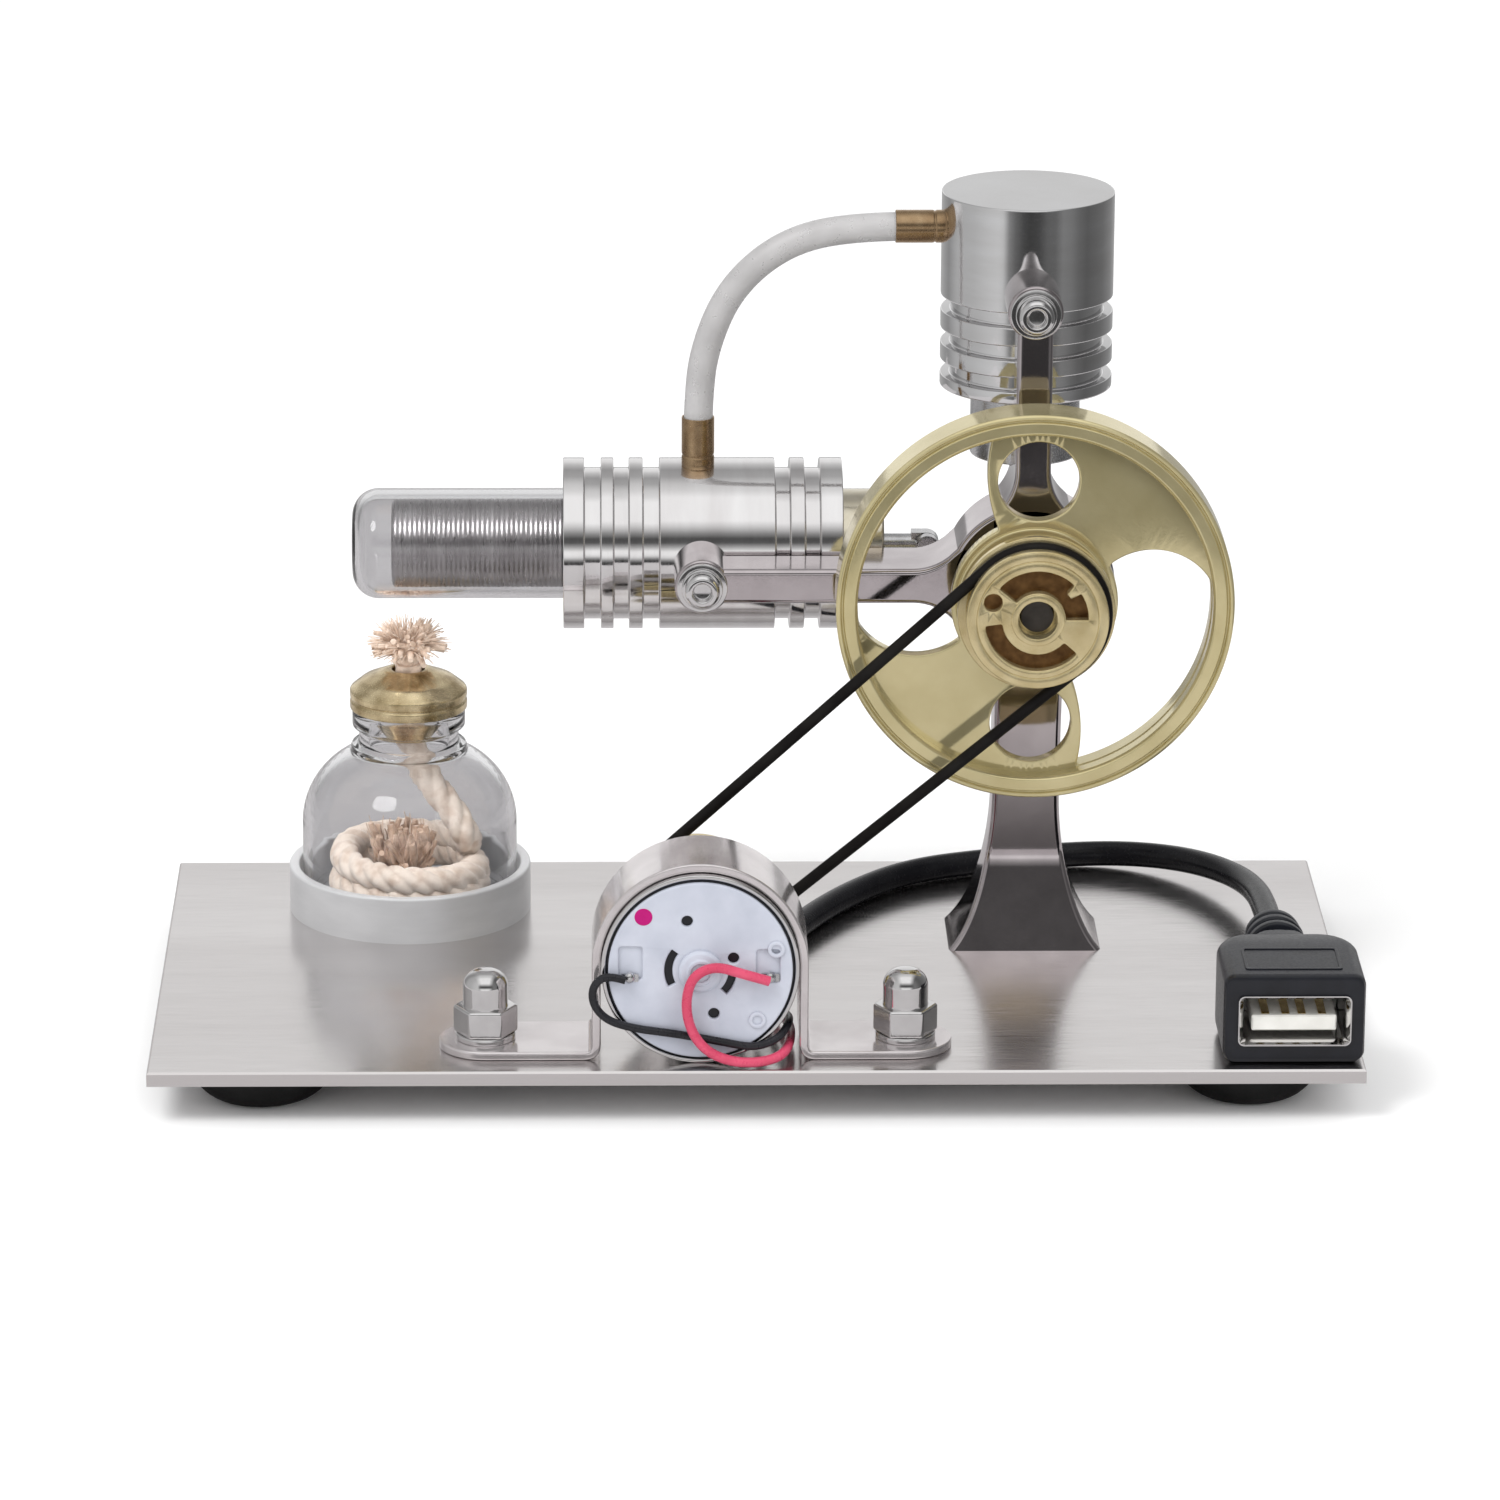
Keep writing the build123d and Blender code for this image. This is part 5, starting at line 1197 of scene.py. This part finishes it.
def add_belt():
    """Round rubber belt: two straight runs and the arcs round both pulleys."""
    low, high, middle = place("drive_belt")
    radius = (high.y - low.y) / 2
    ends = [(Vector((SHAFT.x, SHAFT.z)), 8.75), (Vector((MOTOR.x, MOTOR.z)), 7.45)]
    gap = ends[0][0] - ends[1][0]
    heading = math.atan2(gap.y, gap.x)
    lean = math.asin((ends[0][1] - ends[1][1]) / gap.length)
    points = []
    for (centre, pitch), start, swing in ((ends[0], -(math.pi / 2 + lean), math.pi + 2 * lean),
                                          (ends[1], math.pi / 2 + lean, math.pi - 2 * lean)):
        for k in range(41):
            a = heading + start + swing * k / 40
            points.append(Vector((centre.x + pitch * math.cos(a), middle.y, centre.y + pitch * math.sin(a))))
    count = len(points)
    rings = []
    for i, here in enumerate(points):
        ahead = (points[(i + 1) % count] - points[i - 1]).normalized()
        side = ahead.cross(Vector((0, 1, 0)))
        rings.append([here + side * x + Vector((0, y, 0)) for x, y in circle(radius, count=20)])
    piece("belt", loft(rings, capped=False, closed=True), "root", "belt_rubber", MATERIALS["belt"],
          "drive_belt", sharp=70)


# ---- generator ----

def add_motor():
    m = MATERIALS
    low, high, middle = place("motor_can")
    radius, wall = high.x - middle.x, 0.55
    rear = high.y - 1.2
    at = (MOTOR.x, 0, MOTOR.z)
    profile = [(radius - wall, low.y), (radius, low.y), (radius, rear), (3.0, rear), (3.0, high.y),
               (1.9, high.y), (1.9, rear - 0.8), (radius - wall, rear - 0.8)]
    piece("motor_shell", lathe(soften(profile, 0.35), "y", at), "root", "bright_steel", m["chrome"],
          "motor_can")
    add_end_cap(at, radius - wall - 0.32)
    add_strap()
    add_motor_pulley()


def add_end_cap(at, radius):
    """Moulded cap: cooling slots, holes, two recesses for the terminals, a boss and raised rings."""
    m = MATERIALS
    low, high, _ = place("motor_end_cap")
    front = low.y + 0.7
    slots = [arc_slot(3.45, 4.45, 142, 208, 0.35), arc_slot(3.45, 4.45, 316, 350, 0.35)]
    dots = [circle(0.7, x, z, 24) for x, z in ((-1.65, 6.4), (4.05, 1.6), (1.65, -5.6))]
    pads = []
    for x, z in ((-8.6, 1.0), (8.3, 0.6)):
        pads.append([(x + u, z + v) for u, v in rounded_rect(1.45, 2.1, 0.4)])
    skin = cut_sheet([circle(radius)] + slots + dots + pads + [circle(1.9, count=48)], 0.9, 0.22, "y",
                     (at[0], front, at[2]))
    # Black disc behind the cap: painted shade that shows in the gap round the cap and through its slots and
    # holes.
    back = lathe(soften([(1.9, front + 0.55), (radius + 0.25, front + 0.55), (radius + 0.25, high.y),
                         (1.9, high.y)], 0.1), "y", at)
    boss = soften([(0, front - 0.78), (1.1, front - 0.78), (1.2, front - 0.95), (1.6, front - 0.95),
                   (1.75, front - 0.75), (2.35, front - 0.7), (2.7, front - 0.35), (2.7, front + 0.3),
                   (0, front + 0.3)], 0.12, closed=False)
    shapes = [skin, lathe(boss, "y", at, 72)]
    for x, z in ((-8.6, 1.0), (8.3, 0.6)):
        floor = [(at[0] + x + u, front + 0.4, at[2] + z + v) for u, v in rounded_rect(1.6, 2.25, 0.4)]
        shapes.append(loft([floor, [(px, front + 0.6, pz) for px, _, pz in floor]]))
    ring = soften([(0.6, front - 0.25), (1.05, front - 0.25), (1.05, front + 0.3), (0.6, front + 0.3)], 0.12)
    for x, z in ((9.3, 2.8), (7.0, -6.4)):
        shapes.append(lathe(ring, "y", (at[0] + x, 0, at[2] + z), 40))
    piece("motor_cover", join(*shapes), "root", "cap_plastic", m["cap"], "motor_end_cap")
    piece("motor_cover_shade_back", back, "root", "cap_plastic", m["black_plastic"])
    dot = soften([(0, front - 0.06), (1.05, front - 0.06), (1.15, front + 0.05), (0, front + 0.05)], 0.05,
                 closed=False)
    piece("cap_mark", lathe(dot, "y", (at[0] - 7.0, 0, at[2] + 7.0), 40), "root", "cap_plastic", m["magenta"])
    add_solder(front)


def add_solder(front):
    """Terminal tabs with a bead of solder."""
    low, high, middle = place("motor_terminals")
    shapes = []
    for x in (low.x + 1.0, high.x - 1.0):
        tab = [(x + u, front - 0.05, middle.z + v) for u, v in rounded_rect(1.1, 0.5, 0.2)]
        rear = [(px, front + 0.45, pz) for px, _, pz in tab]
        shapes.append(loft([tab, rear]))
        bead = [(0, -0.42), (0.35, -0.36), (0.6, -0.15), (0.75, 0.2), (0, 0.2)]
        shapes.append(lathe(bead, "y", (x, front - 0.1, middle.z), 32))
    piece("solder_tabs", join(*shapes), "root", "copper", MATERIALS["steel"], "motor_terminals")


def add_strap():
    """Bent steel strap. Its feet end in half circles round the studs."""
    m = MATERIALS
    low, high, middle = place("motor_strap")
    thick, bend = 1.1, 1.6
    half_width = (high.y - low.y) / 2
    line_r = high.z - MOTOR.z - thick / 2
    floor = PLATE_TOP + thick / 2
    left, right = low.x, high.x
    leg_left, leg_right = MOTOR.x - line_r, MOTOR.x + line_r
    outline = [(left + 0.02, floor)]
    outline += [(left + half_width * (1 - math.cos(math.radians(a))), floor) for a in range(10, 91, 8)]
    outline += soften([(leg_left - 3.2, floor), (leg_left, floor), (leg_left, floor + 3.2)],
                      bend + 0.5, closed=False, steps=8)
    outline += [(MOTOR.x + line_r * math.cos(math.radians(a)), MOTOR.z + line_r * math.sin(math.radians(a)))
                for a in range(180, -1, -4)]
    outline += soften([(leg_right, floor + 3.2), (leg_right, floor), (leg_right + 3.2, floor)],
                      bend + 0.5, closed=False, steps=8)
    outline += [(right - half_width * (1 - math.cos(math.radians(a))), floor) for a in range(90, 9, -8)]
    outline += [(right - 0.02, floor)]
    rings = []
    for i, (x, z) in enumerate(outline):
        ahead = Vector(outline[min(i + 1, len(outline) - 1)]) - Vector(outline[max(i - 1, 0)])
        ahead.normalize()
        from_end = min(x - left, right - x)
        wide = half_width
        if from_end < half_width:
            wide = math.sqrt(max(0.01, half_width ** 2 - (half_width - from_end) ** 2))
        section = rounded_rect(wide, thick / 2, min(0.3, wide * 0.6), 3)
        rings.append([(x - ahead.y * v, middle.y + u, z + ahead.x * v) for u, v in section])
    piece("strap", loft(rings), "root", "mirror_metal", m["strap"], "motor_strap")
    add_strap_fasteners(middle.y, PLATE_TOP + thick)


def add_strap_fasteners(y, base):
    m = MATERIALS
    low, high, _ = place("strap_studs")
    washers, nuts = [], []
    for x in (low.x + 3.4, high.x - 3.4):
        at = (x, y, base)
        ring = soften([(2.0, 0), (3.75, 0), (3.75, 0.8), (2.0, 0.8)], 0.2)
        washers.append(lathe(ring, "z", at, 72))
        nuts.append(cap_nut((x, y, base + 0.8)))
    piece("nut_washers", join(*washers), "root", "mirror_metal", m["chrome"], "strap_washers")
    piece("domed_nuts", join(*nuts), "root", "mirror_metal", m["chrome"], "cap_nuts")


def cap_nut(at):
    """Hexagon with chamfered corners, a collar and a dome."""
    body = cut_sheet([soften(hexagon(7.0), 0.3, steps=2)], 3.5, 0.35, "z", at)
    dome = [(0, 3.3), (2.9, 3.3), (2.8, 3.8), (2.8, 6.0)] + arc((2.8, 6.0), (2.2, 7.4), (0.8, 8.05))[1:]
    dome += [(0, 8.1)]
    return join(body, lathe(dome, "z", at, 72))


# ---- socket ----

def add_socket():
    m = MATERIALS
    throat_y = place("usb_boot")[0].y
    low, high, middle = SOCKET_LOW, SOCKET_HIGH, SOCKET
    half_w, half_h = (high.x - low.x) / 2, (high.z - low.z) / 2
    shoulder = -26.0
    inner_w, inner_h = (SHELL_HIGH.x - SHELL_LOW.x) / 2 - 0.4, (SHELL_HIGH.z - SHELL_LOW.z) / 2 - 0.35
    sections = [(-24.0, inner_w, inner_h, 0.5, SHELL.z), (low.y + 0.5, inner_w, inner_h, 0.5, SHELL.z),
                (low.y, inner_w + 0.25, inner_h + 0.25, 0.7, SHELL.z),
                (low.y, half_w - 0.8, half_h - 0.8, 1.0, middle.z),
                (low.y + 0.25, half_w - 0.25, half_h - 0.25, 1.3, middle.z),
                (low.y + 0.9, half_w, half_h, 1.5, middle.z),
                (shoulder - 1.2, half_w, half_h, 1.5, middle.z)]
    neck = throat_y - 4.0
    for k in range(11):
        a = math.radians(90 * k / 10)
        y = shoulder + (neck - shoulder) * math.sin(a)
        sections.append((y, 4.4 + (half_w - 4.4) * math.cos(a) ** 0.9, 4.1 + (half_h - 4.1) * math.cos(a),
                         1.5 + 1.6 * math.sin(a), middle.z))
    sections.append((throat_y - 0.4, 4.2, 3.9, 3.0, middle.z))
    sections.append((throat_y, 3.8, 3.5, 2.6, middle.z))
    rings = []
    for y, w, h, corner, z in sections:
        rings.append([(middle.x + u, y, z + v) for u, v in rounded_rect(w, h, corner, 7)])
    border = [rounded_rect(6.0 - inset, 3.9 - inset, 0.4) for inset in (0, 0.4)]
    frame_line = cut_sheet(outlines=border, depth=0.2, edge=0.08, at=(middle.x, -31.7, high.z - 0.06))
    piece("socket_block", join(loft(rings), frame_line), "root", "black_plastic", m["black_plastic"],
          "usb_body")
    add_shell()
    add_boot()


def add_shell():
    """Folded steel shell with a flared lip, a pale tongue and four contacts."""
    m = MATERIALS
    low, high = SHELL_LOW, SHELL_HIGH
    x, z = SHELL.x, SHELL.z
    sections = [(high.y, 6.6, 2.9, 0.6), (low.y + 0.5, 6.6, 2.9, 0.6), (low.y + 0.2, 6.8, 3.05, 0.7),
                (low.y, 6.98, 3.25, 0.8), (low.y, 6.82, 3.1, 0.7), (low.y + 0.7, 6.4, 2.7, 0.5),
                (low.y + 1.3, 6.25, 2.55, 0.4), (high.y, 6.25, 2.55, 0.4)]
    rings = [[(x + u, y, z + v) for u, v in rounded_rect(w, h, corner, 6)] for y, w, h, corner in sections]
    piece("socket_shell", loft(rings, capped=False, closed=True), "root", "socket_steel", m["chrome"],
          "usb_shell")
    low, high, _ = place("usb_tongue")
    top = place("usb_contacts")[0].z
    bar = [[(x + u, y, top - 1.0 + v) for u, v in rounded_rect(5.25 - trim, 1.0 - trim, 0.25)]
           for y, trim in ((low.y, 0.2), (low.y + 0.2, 0.0), (high.y - 2.0, 0.0))]
    back = [[(x + u, y, z + v) for u, v in rounded_rect(6.15, 2.45, 0.4)] for y in (high.y - 3.0, high.y)]
    piece("socket_tongue", join(loft(bar), loft(back)), "root", "tongue_plastic", m["tongue"], "usb_tongue")
    low, high, _ = place("usb_contacts")
    strips = []
    for dx in (-3.5, -1.0, 1.0, 3.5):
        rings = [[(x + dx + u, y, top + lift + v) for u, v in rounded_rect(0.5, 0.1, 0.05, 2)]
                 for y, lift in ((low.y, -0.05), (low.y + 1.0, 0.05), (high.y, 0.05))]
        strips.append(loft(rings))
    piece("socket_contacts", join(*strips), "root", "gold_contact", m["gold"], "usb_contacts")


def add_boot():
    """Ribbed strain relief that tapers towards the cable."""
    low, high, middle = place("usb_boot")
    profile = [(0, low.y), (3.6, low.y), (3.6, low.y + 1.0)]
    for k, radius in enumerate((4.0, 3.85, 3.6)):
        y = low.y + 2.0 + 2.6 * k
        profile += [(2.7, y - 0.6), (2.7, y - 0.1), (radius, y + 0.1), (radius, y + 1.5), (2.7, y + 1.7)]
    profile += [(2.6, high.y - 0.4), (2.3, high.y), (1.75, high.y), (1.75, high.y - 0.6), (0, high.y - 0.6)]
    piece("cable_boot", lathe(soften(profile, 0.35, closed=False), "y", (middle.x, 0, middle.z), 96), "root",
          "black_plastic", MATERIALS["black_plastic"], "usb_boot")


# ---- feet and carried-over nodes ----

def add_feet():
    low, high, _ = place("rubber_feet")
    radius, top = 9.0, high.z
    profile = [(0, low.z), (5.2, low.z)] + arc((5.4, low.z + 0.05), (8.3, 2.1), (radius, top - 0.6))
    profile += [(radius, top), (0, top)]
    shapes = [lathe(profile, "z", (x, y, 0), 96)
              for x in (low.x + radius, high.x - radius) for y in (low.y + radius, high.y - radius)]
    piece("feet", join(*shapes), "root", "black_rubber", MATERIALS["rubber"], "rubber_feet")


CAD_FINISHES = {
    "base_plate": "plate", "bearing_outer_rings": "chrome",
    "bearing_inner_rings": "chrome", "bearing_balls": "chrome", "tube_seal": "rubber",
    "displacer_rod": "steel", "power_piston": "steel", "piston_fork": "steel", "crankshaft": "black_steel",
    "hub_screw": "black_steel", "crank_disc": "steel", "crank_pin": "steel", "displacer_conrod": "steel",
    "displacer_wrist_pin": "steel", "power_conrod": "steel", "power_wrist_pin": "steel",
    "motor_magnets": "magnet", "motor_bushes": "old_brass", "motor_shaft": "steel",
    "motor_armature": "iron", "motor_commutator": "copper", "strap_studs": "steel",
}


def finish_cad_nodes():
    for node, name in CAD_FINISHES.items():
        mesh = NODES[node].data
        if not mesh.materials:
            mesh.materials.append(MATERIALS[name])
        for index in range(len(mesh.materials)):
            mesh.materials[index] = MATERIALS[name]


add_stage()
add_cords()
add_lamp()
add_hot_side()
add_cold_side()
add_ports()
add_stand()
add_flywheel()
add_belt()
add_motor()
add_socket()
add_feet()
finish_cad_nodes()
